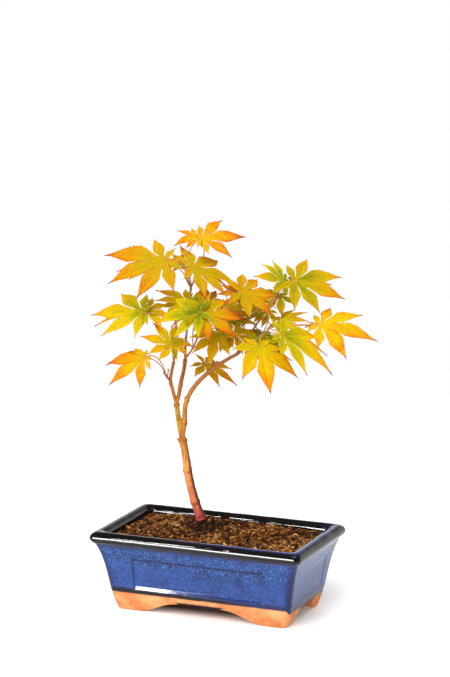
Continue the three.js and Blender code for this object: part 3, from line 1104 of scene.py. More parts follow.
    def edge_at(self, point: Vector) -> float:
        """Returns how far the glaze has drawn off an edge at a point, from 0 to 1, with painted shade
        under each panel's upper edge.

        Args:
            point: the point.

        Returns:
            The share, which is most on the rim and at the foot.
        """
        rim = ease(self.rim_start - 5.5, self.rim_start + 5, point.z)
        from_outside = min(self.length / 2 - abs(point.x), self.width / 2 - abs(point.y))
        rim *= 1 - 0.65 * ease(2, 5, from_outside) * ease(-10, 120, point.x - point.y)
        rightward = ease(-20, 85, point.x)
        foot = lerp(0.95, 0.5, rightward) * ease(self.panel_bottom + 1.8, self.glaze_edge + 2.5, point.z)
        inset = self.wall_inset(point.z)
        to_end, to_side = self.length / 2 - inset - abs(point.x), self.width / 2 - inset - abs(point.y)
        corner = 0.5 * ease(11, 1, max(to_end, to_side))
        return max(rim, foot, corner, self._panel_line_and_shade(point))

    def _panel_line_and_shade(self, point: Vector) -> float:
        """Returns how far the glaze has drawn off the upper edge and the sides of a panel, with painted
        shade under the upper edge.

        Args:
            point: the point.

        Returns:
            The share, from 0 to 1.
        """
        on_end = self._on_end(point)
        along, half = (point.y, self.panel_half_width) if on_end else (point.x, self.panel_half_length)
        within = ease(-1, 0.5, half - abs(along)) * ease(-1, 0.5, point.z - self.panel_bottom)
        # the line under the upper edge is partly glaze drawn off it and partly painted shade in the
        # recess
        upper_break_and_shade = 0.75 * hump(self.panel_top - point.z, 0.2, 1.3)
        side = 0.25 * hump(half - abs(along), 0.3, 1.1) * ease(-1, 0.5, self.panel_top - point.z)
        return max(upper_break_and_shade, side) * within * (0.3 if on_end else 1)

    def above_edge(self, point: Vector) -> float:
        """Returns how far above the glaze's lower edge a point lies; that edge is lower on the ends.

        Args:
            point: the point.

        Returns:
            The height over the edge.
        """
        inset = self.wall_inset(point.z)
        on_end = ease(3, 0.5, self.length / 2 - inset - abs(point.x))
        return point.z - lerp(self.glaze_edge, self.end_glaze_edge, on_end)

    def arch_shade_at(self, point: Vector) -> float:
        """Returns how dark the painted shade is on the clay's lowest band, most along the arches between
        the feet.

        Args:
            point: the point.

        Returns:
            The share, from 0 to 1.
        """
        over_long = ease(26, 20, abs(point.x)) * (abs(point.y) > self.panel_half_width)
        over_end = ease(20, 13, abs(point.y)) * (abs(point.x) > self.panel_half_length)
        return max(over_long, over_end) * ease(self.foot_height + 1.8, self.foot_height + 0.7, point.z)

    def bright_at(self, point: Vector) -> float:
        """Returns how pale the glaze's speckles are: most just under the rim and each panel's top.

        Args:
            point: the point.

        Returns:
            The share, from 0 to 1.
        """
        under_rim = hump(point.z, self.rim_start - 4.5, 4)
        under_edge = hump(point.z, self.panel_top - 2, 4.5)
        return min(1.0, 0.12 + 0.8 * under_rim + 0.9 * under_edge)

    def build(self) -> None:
        """Builds the pot and dresses it."""
        maker = MeshMaker()
        hollow = [self.ring(self.hollow_inset(z), z) for z in (self.mouth, self.floor_top)]
        maker.loft([*self._wall(), *self._rim(), *hollow])
        glaze = Glaze(self.clay)
        piece = maker.piece("pot_body", [glaze], crease=60)
        looks = {
            "edge": self.edge_at, "bright": self.bright_at,
            "above_edge": self.above_edge, "arch_shade": self.arch_shade_at,
        }
        for name, value_at in looks.items():
            paint(piece, name, [value_at(point) for point in maker.points])
        settle(piece, "blue_glaze", "pot")


@dataclass
class Feet:
    """The four clay feet, each a low wall round a corner that runs out in a curl both ways."""

    pot: Pot
    sole_inset: float = 19.5
    wall: float = 8
    long_arch: Pair = (60, 21)
    end_arch: Pair = (32, 11)
    arch_top: float = 11
    least: float = 0.7
    rounding: float = 0.9
    step: float = 1.2

    def _lift(self, along: float, arch: Pair) -> float:
        """Returns how high the arch has cut the wall away at a place along a side."""
        at_sole, at_top = arch
        return self.arch_top * ease(at_sole, at_top, along)

    def _stations(self) -> list[tuple[Vector, Vector, Vector, float]]:
        """Returns places round one corner: at the sole, at the pot, the way out and the lift.

        Returns:
            The stations, from the arch in the long side to the one in the end.
        """
        pot, insets = self.pot, (self.sole_inset, self.pot.base_inset)
        longs = [pot.length / 2 - inset - pot.corner for inset in insets]
        wides = [pot.width / 2 - inset - pot.corner for inset in insets]
        made = []
        start = self.long_arch[1]
        steps = round((longs[0] - start) / self.step)
        for k in range(steps):
            spots = [
                Vector((lerp(start, long, k / steps), wide + pot.corner, 0))
                for long, wide in zip(longs, wides)
            ]
            made.append((*spots, Vector((0, 1, 0)), self._lift(spots[0].x, self.long_arch)))
        for k in range(pot.corner_steps + 1):
            angle = lerp(math.pi / 2, 0, k / pot.corner_steps)
            out = Vector((math.cos(angle), math.sin(angle), 0))
            spots = [Vector((long, wide, 0)) + out * pot.corner for long, wide in zip(longs, wides)]
            made.append((*spots, out, 0.0))
        start = self.end_arch[1]
        steps = round((wides[0] - start) / self.step)
        for k in range(1, steps + 1):
            spots = [
                Vector((long + pot.corner, lerp(wide, start, k / steps), 0))
                for long, wide in zip(longs, wides)
            ]
            made.append((*spots, Vector((1, 0, 0)), self._lift(spots[0].y, self.end_arch)))
        return made

    def _section(self, sole: Vector, head: Vector, out: Vector, lift: float) -> list[Vector]:
        """Returns the outline of the wall where it is cut across.

        Args:
            sole: its outer edge on the ground.
            head: its outer edge under the pot.
            out: the way out.
            lift: how high the arch has cut it away.

        Returns:
            The outline, from its top outside to its top inside.
        """
        top = self.pot.foot_height
        low = min(lift, top - self.least)
        round_off = min(self.rounding, (top - low) / 3)
        turns = [math.radians(turn) for turn in (0, 30, 60, 90)]
        curl = [(round_off * (1 - math.cos(t)), low + round_off * (1 - math.sin(t))) for t in turns]
        outline = [(0.0, top), *((-back, z) for back, z in curl)]
        outline += [*((back - self.wall, z) for back, z in reversed(curl)), (-self.wall, top)]
        return [sole.lerp(head, z / top) + out * away + Vector((0, 0, z)) for away, z in outline]

    def build(self) -> None:
        """Builds the four feet and dresses them."""
        rings = [self._section(*station) for station in self._stations()]
        for face, y in (("front", -1), ("back", 1)):
            for side, x in (("left", -1), ("right", 1)):
                maker = MeshMaker()
                flip = Vector((x, y, 1))
                turned = [[self._rubbed(point * flip) for point in ring] for ring in rings]
                maker.loft([ring if x * y > 0 else list(reversed(ring)) for ring in turned])
                piece = maker.piece(f"foot_{face}_{side}", [self.pot.clay])
                settle(piece, "terracotta", f"pot_foot_{face}_{side}")

    def _rubbed(self, point: Vector) -> Vector:
        """Moves a point of the clay a little, as fingers leave it."""
        amount = 0.16 * ease(0, 2, self.pot.foot_height - point.z)
        return point + Vector((ripple(point, 9, 4), ripple(point, 9, 5), 0)) * amount


# ---------------- soil


@dataclass
class Soil:
    """The compost: a lumpy bed under a cover of loose chips, crumbs and fibres."""

    pot: Pot
    seed: int = 41
    edge: float = 66.5
    gap: float = 0.3
    cover: float = 1.2
    rest: float = 8
    trunk_foot: Vector = field(default_factory=lambda: tree_point((*TRUNK_FOOT[:2], 0)))
    wall_room: float = 2.2
    trunk_room: float = 5
    chips: int = 4200
    crumbs: int = 5000
    fibres: int = 420
    fibre_radius: float = 0.16
    chip_halves: Sequence[Pair] = ((1.2, 3.9), (0.6, 1.8), (0.25, 0.8))

    def _height(self, x: float, y: float, nearness: float) -> float:
        """Returns the bed's height, where nearness to the trunk is 0 at the wall and 1 at the trunk.

        Args:
            x: where it is read along the pot.
            y: where it is read across the pot.
            nearness: from 0 to 1.

        Returns:
            The height.
        """
        lumps = 0.9 * math.sin(x / 9) * math.cos(y / 7) + 0.6 * math.sin((x + 2 * y) / 5)
        top = SOIL_AT_TRUNK - self.gap
        mound = lerp(self.edge, top, math.sin(nearness * math.pi / 2) ** 1.5)
        return min(mound + lumps * math.sin(nearness * math.pi), top)

    def _rings(self) -> list[list[Vector]]:
        """Returns the bed's rings, from its floor up to the wall and in to the trunk.

        Returns:
            The rings.
        """
        pot, low = self.pot, self.pot.floor_top + self.gap
        rings = [pot.ring(pot.hollow_inset(low) + self.gap, low)]
        edge = pot.ring(pot.hollow_inset(self.edge) + self.gap, self.edge)
        for step in range(31):
            nearness = step / 30
            ring = []
            for point in edge:
                out = point - self.trunk_foot
                out.z = 0
                inner = self.trunk_foot + out.normalized() * self.rest
                x, y = lerp(point.x, inner.x, nearness), lerp(point.y, inner.y, nearness)
                ring.append(Vector((x, y, self._height(x, y, nearness) - self.cover)))
            rings.append(ring)
        return rings

    def build(self) -> None:
        """Builds the bed, then strews it."""
        bed = MeshMaker()
        bed.loft(self._rings())
        finish = Crumb("damp_bed", (0.045, 0.022, 0.012, 1))
        settle(bed.piece("soil_bed", [finish]), "compost", "soil")
        self._strew(BVHTree.FromPolygons(bed.points, bed.faces))

    def _finishes(self) -> list[Crumb]:
        """Returns the crumbs' tones from dark to light.

        Returns:
            One finish for each tone.
        """
        colours = (
            (0.008, 0.004, 0.003), (0.035, 0.012, 0.005), (0.095, 0.028, 0.008), (0.2, 0.062, 0.012),
            (0.38, 0.13, 0.024), (0.6, 0.25, 0.05), (0.84, 0.47, 0.17),
        )
        return [Crumb(f"crumb_{k}", (*colour, 1.0)) for k, colour in enumerate(colours)]

    def _strew(self, bed: BVHTree) -> None:
        """Lays the chips, crumbs and fibres on the bed.

        Args:
            bed: the bed, to lay them on.
        """
        maker = MeshMaker()
        growth = Growth(self.seed)
        kinds = ((self.chips, self._chip), (self.crumbs, self._crumb), (self.fibres, self._fibre))
        for count, shape in kinds:
            for _ in range(count):
                place = self._place(bed, growth)
                shape(maker, growth, place, self._tone(growth, place))
        piece = maker.piece("soil_chips", self._finishes(), crease=25)
        settle(piece, "compost")

    def _place(self, bed: BVHTree, growth: Growth) -> Vector:
        """Returns a place on the bed, clear of the wall and of the trunk.

        Args:
            bed: the bed.
            growth: the numbers to draw from.

        Returns:
            The place.
        """
        pot = self.pot
        inset = pot.hollow_inset(self.edge) + self.wall_room
        half_length, half_width = pot.length / 2 - inset, pot.width / 2 - inset
        while True:
            x, y = growth.between(-half_length, half_length), growth.between(-half_width, half_width)
            if (Vector((x, y, 0)) - self.trunk_foot).length > self.trunk_room:
                hit = bed.ray_cast(Vector((x, y, 100)), Vector((0, 0, -1)))[0]
                return hit + Vector((0, 0, growth.between(-0.3, 1.0)))

    def _tone(self, growth: Growth, place: Vector) -> int:
        """Returns a tone: they lie in patches, darkest in front of the trunk.

        Args:
            growth: the numbers to draw from.
            place: where the crumb lies.

        Returns:
            The tone.
        """
        patch = 2.9 + 2.2 * ripple(place, 16, 6) + 1.1 * ripple(place, 5, 7) + growth.between(-2.8, 2.8)
        front = self.trunk_foot + tree_point((3, -14, 0))
        dark = 2.4 * hump((place - front).xy.length, 0, 16)
        dry = 0.9 * ease(-10, -38, place.y) * ease(-30, 20, place.x)
        return max(0, min(6, round(patch - dark + dry)))

    def _frame(self, growth: Growth, lean: float) -> Matrix:
        """Returns a random turn about the vertical with a random lean.

        Args:
            growth: the numbers to draw from.
            lean: the most that it leans.

        Returns:
            The turn.
        """
        turn = Matrix.Rotation(growth.between(0, 2 * math.pi), 3, "Z")
        roll = Matrix.Rotation(growth.between(-lean, lean), 3, "X")
        return turn @ roll @ Matrix.Rotation(growth.between(-lean, lean), 3, "Y")

    def _chip(self, maker: MeshMaker, growth: Growth, place: Vector, tone: int) -> None:
        """Adds a flake of bark: a ragged block, narrower at its ends.

        Args:
            maker: takes it.
            growth: the numbers to draw from.
            place: its middle.
            tone: its tone.
        """
        size = growth.between(0.7, 1.0) ** 2
        half = Vector([growth.between(*span) for span in self.chip_halves]) * size
        turn = self._frame(growth, 0.6)
        points = []
        for x, narrow in ((-1, 0.5), (-0.3, 1), (0.45, 0.9), (1, 0.4)):
            for y, z in ((-1, -1), (1, -1), (1, 1), (-1, 1)):
                corner = Vector((x * half.x, y * half.y * narrow, z * half.z * narrow))
                ragged = Vector([growth.between(-0.28, 0.28) * half.y for _ in range(3)])
                points.append(place + turn @ (corner + ragged))
        maker.loft([points[k:k + 4] for k in range(0, 16, 4)], tone)

    def _crumb(self, maker: MeshMaker, growth: Growth, place: Vector, tone: int) -> None:
        """Adds a small crumb with eight faces.

        Args:
            maker: takes it.
            growth: the numbers to draw from.
            place: its middle.
            tone: its tone.
        """
        turn = self._frame(growth, 1.2)
        size = growth.between(0.35, 0.95)
        ends = ((1, 0, 0), (0, 1, 0), (-1, 0, 0), (0, -1, 0), (0, 0, 1), (0, 0, -1))
        points = [place + turn @ (Vector(end) * size * growth.between(0.6, 1.25)) for end in ends]
        faces = [(k, (k + 1) % 4, 4) for k in range(4)] + [((k + 1) % 4, k, 5) for k in range(4)]
        maker.add(points, faces, tone)

    def _fibre(self, maker: MeshMaker, growth: Growth, place: Vector, tone: int) -> None:
        """Adds a thin curved fibre that lies on the chips.

        Args:
            maker: takes it.
            growth: the numbers to draw from.
            place: under its middle.
            tone: the tone of a chip there.
        """
        way = bearing_vector(growth.between(0, 360)) * growth.between(2.5, 6)
        lift = Vector((0, 0, growth.between(0.6, 2.0)))
        start, end = place - way * 0.5, place + way * 0.5
        path = Path.bent(start, place + lift + way.yxz * 0.3, end)
        maker.tube(path, lambda _: self.fibre_radius, path.length / 4, 3, min(6, tone + 2))


# ---------------- limbs


@dataclass
class Limb:
    """A limb that tapers along its way and has ringed joints at shares of its length."""

    way: Sequence[Place]
    thick: float
    thin: float
    joints: Sequence[float] = ()

    def __post_init__(self) -> None:
        """Draws its middle line."""
        self.path = Path.through(self.way)

    def radius_at(self, distance: float) -> float:
        """Returns its radius at a distance from its start, before the joints swell it."""
        return lerp(self.thick, self.thin, distance / self.path.length)

    def swell_at(self, distance: float) -> float:
        """Returns how much a joint swells it at a distance from its start."""
        return sum(hump(distance, share * self.path.length, 2) for share in self.joints)


@dataclass(frozen=True)
class Knob:
    """A knob on a limb, at a share of its length and a bearing, that stands out by its size."""

    limb: Limb
    share: float
    bearing: float
    size: float
    width: float = 1.5

    def middle(self) -> Vector:
        """Returns the place of its middle on the bark.

        Returns:
            The place.
        """
        distance = self.share * self.limb.path.length
        out = bearing_vector(self.bearing) * self.limb.radius_at(distance)
        return self.limb.path.at(distance) + out


@dataclass
class Wood:
    """The trunk and its boughs, grown together in one bark."""

    trunk: Limb = field(default_factory=lambda: Limb(
        [TRUNK_FOOT, (-21, 24, 92), (-26, 24, 113), (-29, 24, 134), TRUNK_FORK],
        4.2, 3.5, (0.22, 0.6, 0.97),
    ))
    left_stem: Limb = field(default_factory=lambda: Limb(
        [TRUNK_FORK, (-35, 23, 166), STEM_FORK], 2.7, 2.3, (0.95,),
    ))
    left_bough: Limb = field(default_factory=lambda: Limb(
        [STEM_FORK, (-40, 21, 192), LEFT_JOINT, (-41, 19, 210), LEFT_TIP], 1.75, 1.25, (0.5, 0.98),
    ))
    middle_bough: Limb = field(default_factory=lambda: Limb(
        [STEM_FORK, (-35, 23, 187), (-33, 26, 198), (-30, 29, 211), MIDDLE_TIP], 1.95, 1.65, (0.95,),
    ))
    right_bough: Limb = field(default_factory=lambda: Limb(
        [TRUNK_FORK, (-30, 23, 162), (-28, 21, 183), (-19, 18, 199), RIGHT_JOINT, (10, 10, 224),
         (18, 8, 229), RIGHT_TIP],
        2.55, 1.3, (0.12, 0.6),
    ))
    sides: int = 20
    step: float = 1.0
    grain: float = 0.34
    softening: int = 4
    # the bearing that the trunk's painted shade faces
    shaded_side_bearing: float = 5
    colours_end: float = 250

    def knobs(self) -> list[Knob]:
        """Returns the scars of lost buds and twigs, which stand out as knobs.

        Returns:
            The knobs.
        """
        return [
            Knob(self.trunk, 0.98, 185, 1.1), Knob(self.trunk, 0.97, 345, 0.7),
            Knob(self.trunk, 0.6, 190, 0.6), Knob(self.trunk, 0.6, 285, 0.5),
            Knob(self.trunk, 0.06, 270, 0.8), Knob(self.trunk, 0.22, 280, 0.3),
            Knob(self.left_stem, 0.96, 330, 0.7), Knob(self.left_stem, 0.93, 200, 0.5),
            Knob(self.right_bough, 0.3, 350, 0.8), Knob(self.right_bough, 0.33, 175, 0.7),
            Knob(self.right_bough, 0.12, 340, 0.4), Knob(self.middle_bough, 0.4, 20, 0.5),
        ]

    def limbs(self) -> list[Limb]:
        """Returns all the limbs."""
        return [self.trunk, self.left_stem, self.left_bough, self.middle_bough, self.right_bough]

    def _radius_at(self, limb: Limb, distance: float) -> float:
        """Returns a limb's radius, wider than its taper at its joints and at the trunk's foot."""
        foot = 0.42 * math.exp(-max(distance, 0) / 4.5) if limb is self.trunk else 0.0
        return limb.radius_at(distance) * (1 + foot + 0.1 * limb.swell_at(distance))

    def _merged(self) -> bpy.types.Object:
        """Returns one closed mesh of all the limbs, grown together at the forks.

        Returns:
            The mesh, as a piece.
        """
        maker = MeshMaker()
        for limb in self.limbs():
            maker.tube(limb.path, partial(self._radius_at, limb), self.step, self.sides)
        rough = maker.piece("wood_rough", [])
        remesh = rough.modifiers.new("grow_together", "REMESH")
        remesh.mode = "VOXEL"
        remesh.voxel_size = self.grain * MM
        soften = rough.modifiers.new("soften", "SMOOTH")
        soften.iterations = self.softening
        graph = bpy.context.evaluated_depsgraph_get()
        grown = bpy.data.meshes.new_from_object(rough.evaluated_get(graph))
        grown.name = "trunk_and_boughs"
        bpy.data.objects.remove(rough)
        return put_in_scene(grown)

    def _marks(self) -> tuple[KDTree, list[tuple[Limb, float]]]:
        """Returns a finder of the nearest place on the limbs' middle lines, and those places.

        Returns:
            The finder, and each place as its limb and distance.
        """
        marks = [(limb, d * 0.5) for limb in self.limbs() for d in range(int(limb.path.length * 2) + 1)]
        finder = KDTree(len(marks))
        for k, (limb, distance) in enumerate(marks):
            finder.insert(limb.path.at(distance), k)
        finder.balance()
        return finder, marks

    def build(self) -> None:
        """Builds the bark and dresses it."""
        piece = self._merged()
        finder, marks = self._marks()
        looks = {"scar": [], "shaded_side": [], "olive": []}
        shaded_side = bearing_vector(self.shaded_side_bearing)
        knobs = [(knob.middle(), knob) for knob in self.knobs()]
        for vertex in piece.data.vertices:
            point = (vertex.co - POT_MIDDLE) / MM
            middle, number, _ = finder.find(point)
            limb, distance = marks[number]
            out = (point - middle).normalized()
            relief, scar = self._relief(limb, distance, point)
            for knob_middle, knob in knobs:
                away = (point - knob_middle).length
                relief += knob.size * hump(away, 0, knob.width)
                scar = max(scar, 0.8 * hump(away, 0.7 * knob.width, 0.5), 0.9 * hump(away, 0, 0.4))
            vertex.co = POT_MIDDLE + (point + out * relief) * MM
            looks["scar"].append(scar)
            # painted shade on the side turned from the light, fading out towards the fork
            looks["shaded_side"].append(ease(0.15, 0.75, out.dot(shaded_side)) * ease(160, 112, point.z))
            looks["olive"].append(ease(0, 8, distance) * (limb is self.left_stem))
        piece.data.materials.append(MATERIALS.get(Bark(SOIL_AT_TRUNK, self.colours_end)))
        piece.data.polygons.foreach_set("material_index", [0] * len(piece.data.polygons))
        piece.data.shade_smooth()
        for name, values in looks.items():
            paint(piece, name, values)
        settle(piece, "bark", "trunk", "left_stem", "left_bough", "middle_bough", "right_bough")

    def _relief(self, limb: Limb, distance: float, point: Vector) -> Pair:
        """Returns how far the bark stands out at a point, and how scarred it is.

        Args:
            limb: the limb nearest to it.
            distance: how far along that limb.
            point: the point.

        Returns:
            The relief in millimetres, and the scarring from 0 to 1.
        """
        radius = limb.radius_at(distance)
        drawn = Vector((point.x, point.y, point.z * 0.22))
        streak = ripple(drawn, 1.6, 8) * 0.035 * radius
        lump = ripple(point, 4.5, 9) * 0.05 * radius
        foot = 0.0
        if limb is self.trunk:
            foot = ripple(drawn, 2.6, 10) * 0.6 * math.exp(-distance / 6)
        relief, scar = streak + lump + foot, 0.0
        for share in limb.joints:
            offset = distance - share * limb.path.length + 0.5 * ripple(point, 3, 11)
            relief += 0.1 * (hump(offset, -0.9, 0.5) + hump(offset, 0.9, 0.5))
            scar = max(scar, 0.6 * hump(offset, 0, 0.7) * (0.6 + 0.9 * ripple(point, 2, 12)))
        return relief, max(0.0, min(1.0, scar))


# ---------------- leaves


@dataclass(frozen=True)
class Autumn:
    """How ripe a leaf is: in its middle, how much more at its tips and along its margins, and whether it
    takes the painted-shade tones.
    """

    middle: float
    tips: float
    margins: float = 0.12
    shaded_copy: bool = False


class Tint(Enum):
    """The stages that the leaves have reached; the tints flagged True take the darker tones of painted
    shade.
    """

    SHADE = Autumn(0.14, 0.36, 0.14)
    OLIVE = Autumn(0.22, 0.42, 0.16)
    GREEN = Autumn(0.32, 0.4, 0.14)
    FERN = Autumn(0.11, 0.54, 0.16)
    MOSS = Autumn(0.34, 0.42, 0.14, True)
    LIME = Autumn(0.4, 0.36, 0.14)
    SUN = Autumn(0.45, 0.34)
    HONEY = Autumn(0.47, 0.34, 0.14, True)
    BRASS = Autumn(0.52, 0.32, 0.14, True)
    GOLD = Autumn(0.56, 0.3)
    AMBER = Autumn(0.62, 0.28)
    COPPER = Autumn(0.58, 0.34, 0.14, True)
    EMBER = Autumn(0.42, 0.58, 0.16, True)


@dataclass(frozen=True)
class Leaf:
    """A leaf: its foot, its turn (heading, tilt and the bearing it faces) and its length.

    The four outer lobes are outer times as long as usual, and seed gives all lobes their own shape.
    """

    foot: Place
    turn: tuple[float, float, float]
    length: float
    outer: float
    seed: int
    tint: Tint

    def axes(self) -> tuple[Vector, Vector, Vector]:
        """Returns the directions forward along its middle lobe, left, and up out of its face.

        Returns:
            The three directions.
        """
        heading, tilt, faces = self.turn
        up = bearing_vector(faces) * math.sin(math.radians(tilt))
        up.z = math.cos(math.radians(tilt))
        forward = bearing_vector(heading)
        forward.z = -forward.dot(up) / up.z
        forward.normalize()
        return forward, up.cross(forward), up


@dataclass(frozen=True)
class Lobe:
    """One lobe of a leaf: its angle, its length, how its tip strays and how much riper it is."""

    angle: float
    reach: float
    sweep: float
    hang: float
    ripeness: float


@dataclass(frozen=True)
class Half:
    """Half a lobe, between its rib and its slit or outer margin.

    The slit's end lies slit_reach from the leaf's foot, turned by slit_turn from the rib.
    """

    lobe: Lobe
    hand: int
    seam: int
    slit_turn: float
    slit_reach: float


@dataclass(frozen=True)
class BladeShape:
    """The measures that all leaves share, as shares of a leaf's or a lobe's length.

    Two lobes are joined up to the slit between them, and each stays a gap off the slit's middle.
    """

    lobes: tuple[Pair, ...] = ((0, 1), (41, 0.92), (84, 0.72), (128, 0.45))
    stray: float = 8
    variety: Pair = (0.84, 1.12)
    half_width: float = 0.164
    to_widest: float = 10.2
    slit: float = 0.14
    gap: float = 0.011
    arch: float = 0.08
    fold: float = 0.25
    teeth: int = 12
    tooth: float = 0.03
    vein_lean: float = 0.09
    columns: tuple[float, ...] = (0, 0.05, 0.34, 0.64, 0.88, 1)
    thickness: float = 0.4
    back_slit: Pair = (160, 0.12)

    def width_at(self, share: float) -> float:
        """Returns half a lobe's width at a share of its length: widest a little before its middle."""
        return self.half_width * self.to_widest * share**1.5 * (1 - share) ** 1.9

    def stations(self) -> list[Pair]:
        """Returns shares of a lobe's length from foot to tip, each with how far a tooth stands out.

        Returns:
            The shares and teeth.
        """
        made = [(self.slit * k / 3, 0.0) for k in range(4)]
        first, last = self.slit + 0.08, 0.93
        pitch = (last - first) / self.teeth
        for k in range(self.teeth):
            size = self.tooth * (1.1 - k / self.teeth) * (0.75 if k % 3 == 1 else 1.0)
            made += [(first + k * pitch, 0.0), (first + (k + 0.72) * pitch, size)]
        return [*made, (last, 0.0), (0.965, 0.0), (1.0, 0.0)]


class Blade:
    """The fine mesh of one leaf, in its own frame: forward is X, left is Y and its face is Z."""

    SHAPE = BladeShape()
    STATIONS = SHAPE.stations()
    RIPENING = Ripening()

    def __init__(self, leaf: Leaf) -> None:
        """Draws a leaf's lobes and fills them.

        Args:
            leaf: the leaf.
        """
        self.leaf = leaf
        self.points: list[Vector] = []
        self.faces: list[tuple[int, ...]] = []
        self.tones: list[int] = []
        self._numbers: dict[tuple[int, ...], int] = {}
        growth = Growth(leaf.seed)
        self.lobes = [self._lobe(k, growth) for k in range(-3, 4)]
        for half in self._halves():
            self._fill(half)
        self._thicken()

    def _lobe(self, place: int, growth: Growth) -> Lobe:
        """Returns the lobe that stands at a place from -3 to 3, with the middle one at 0.

        Args:
            place: its place.
            growth: the numbers to draw from.

        Returns:
            The lobe.
        """
        shape, leaf = self.SHAPE, self.leaf
        bearing, reach = shape.lobes[abs(place)]
        side = (place > 0) - (place < 0)
        angle = math.radians(side * bearing + growth.between(-shape.stray, shape.stray))
        own = leaf.length * growth.between(*shape.variety) * (leaf.outer if abs(place) > 1 else 1)
        spot = Vector((place * 2.7, leaf.seed * 0.37, 0.5))
        return Lobe(
            angle, reach * own, 0.16 * noise.noise(spot), 0.05 + 0.06 * noise.noise(spot * 1.7),
            0.12 * noise.noise(spot * 2.3),
        )

    def _halves(self) -> list[Half]:
        """Returns the halves of all lobes.

        Returns:
            The halves, from the rearmost lobe on the right round to the left.
        """
        shape, made = self.SHAPE, []
        back_turn, back_reach = shape.back_slit
        for k, lobe in enumerate(self.lobes):
            for hand in (-1, 1):
                if 0 <= k + hand < len(self.lobes):
                    other = self.lobes[k + hand]
                    turn = abs(other.angle - lobe.angle) / 2
                    reach = shape.slit * min(lobe.reach, other.reach)
                else:
                    turn = math.radians(back_turn) - abs(lobe.angle)
                    reach = back_reach * self.leaf.length
                made.append(Half(lobe, hand, k + (hand > 0), turn, reach))
        return made

    def _margin(self, half: Half, share: float, tooth: float) -> Pair:
        """Returns how far along and aside of its rib a half's margin lies.

        Args:
            half: the half.
            share: of its lobe's length.
            tooth: how far a tooth stands out there.

        Returns:
            The two distances.
        """
        shape, lobe = self.SHAPE, half.lobe
        slit_along = half.slit_reach * math.cos(half.slit_turn)
        slit_aside = half.slit_reach * math.sin(half.slit_turn)
        if share <= shape.slit:
            return slit_along * share / shape.slit, slit_aside * share / shape.slit
        settled = ease(shape.slit, shape.slit + 0.12, share)
        along = lerp(slit_along + (share - shape.slit) * lobe.reach, share * lobe.reach, settled)
        aside = lerp(slit_aside, (shape.width_at(share) + tooth) * lobe.reach, settled)
        room = along * math.tan(half.slit_turn) - shape.gap * self.leaf.length * settled
        return along + 0.6 * tooth * lobe.reach, min(aside, room)

    def _number(self, key: tuple[int, ...], point: Callable[[], Vector]) -> int:
        """Returns the number of the point with a key, and makes it the first time.

        Args:
            key: names it.
            point: makes it.

        Returns:
            The number.
        """
        if key not in self._numbers:
            self._numbers[key] = len(self.points)
            self.points.append(point())
        return self._numbers[key]

    def _grid_point(self, half: Half, number: int, station: int, column: int) -> int:
        """Returns the number of a point of a half's grid, shared with its neighbours.

        Args:
            half: the half.
            number: its lobe's number.
            station: along the lobe.
            column: out from the rib.

        Returns:
            The number.
        """
        share, tooth = self.STATIONS[station]
        if station == 0:
            return self._number((0,), lambda: Vector((0, 0, 0)))
        if station == len(self.STATIONS) - 1:
            return self._number((1, number), lambda: self._at(half, 1.0, half.lobe.reach, 0.0, 0.0))
        across = self.SHAPE.columns[column]
        along_margin, aside_margin = self._margin(half, share, tooth)
        lean = self.SHAPE.vein_lean * min(1.0, share / self.SHAPE.slit)
        along = lerp((share - lean * (1 - share)) * half.lobe.reach, along_margin, across)
        aside = half.hand * aside_margin * across
        pucker = 0.0 if tooth else 0.014 * half.lobe.reach * math.sin(math.pi * across) * share
        make = partial(self._at, half, share, along, aside, pucker)
        if column == 0:
            return self._number((2, number, station), make)
        if across == 1 and share <= self.SHAPE.slit:
            return self._number((3, half.seam, station), make)
        return self._number((4, number, half.hand, station, column), make)

    def _at(self, half: Half, share: float, along: float, aside: float, pucker: float) -> Vector:
        """Returns the point that lies along and aside of a lobe's rib.

        Args:
            half: the half it lies on.
            share: of the lobe's length.
            along: the distance along.
            aside: the distance to the left.
            pucker: how far it stands up.

        Returns:
            The point.
        """
        lobe, shape, length = half.lobe, self.SHAPE, self.leaf.length
        swept = aside + lobe.sweep * lobe.reach * share**3
        cos, sin = math.cos(lobe.angle), math.sin(lobe.angle)
        point = Vector((along * cos - swept * sin, along * sin + swept * cos, 0))
        fold = shape.fold * abs(aside) * ease(shape.slit * 0.6, shape.slit + 0.1, share)
        drop = shape.arch * along * along / length + lobe.hang * lobe.reach * share**4
        wave = 0.02 * length * share * ripple(point, 0.4 * length, self.leaf.seed)
        point.z = fold - drop + wave + pucker
        return point

    def _fill(self, half: Half) -> None:
        """Fills a half of a lobe with faces, and deals them their tones.

        Args:
            half: the half.
        """
        number = self.lobes.index(half.lobe)
        columns = range(len(self.SHAPE.columns) - 1)
        for station in range(len(self.STATIONS) - 1):
            for column in columns:
                corners = [
                    self._grid_point(half, number, station, column),
                    self._grid_point(half, number, station + 1, column),
                    self._grid_point(half, number, station + 1, column + 1),
                    self._grid_point(half, number, station, column + 1),
                ]
                face = tuple(dict.fromkeys(corners))
                if len(face) < 3:
                    continue
                self.faces.append(face if half.hand > 0 else tuple(reversed(face)))
                self.tones.append(self._tone(half.lobe, station, column, face))

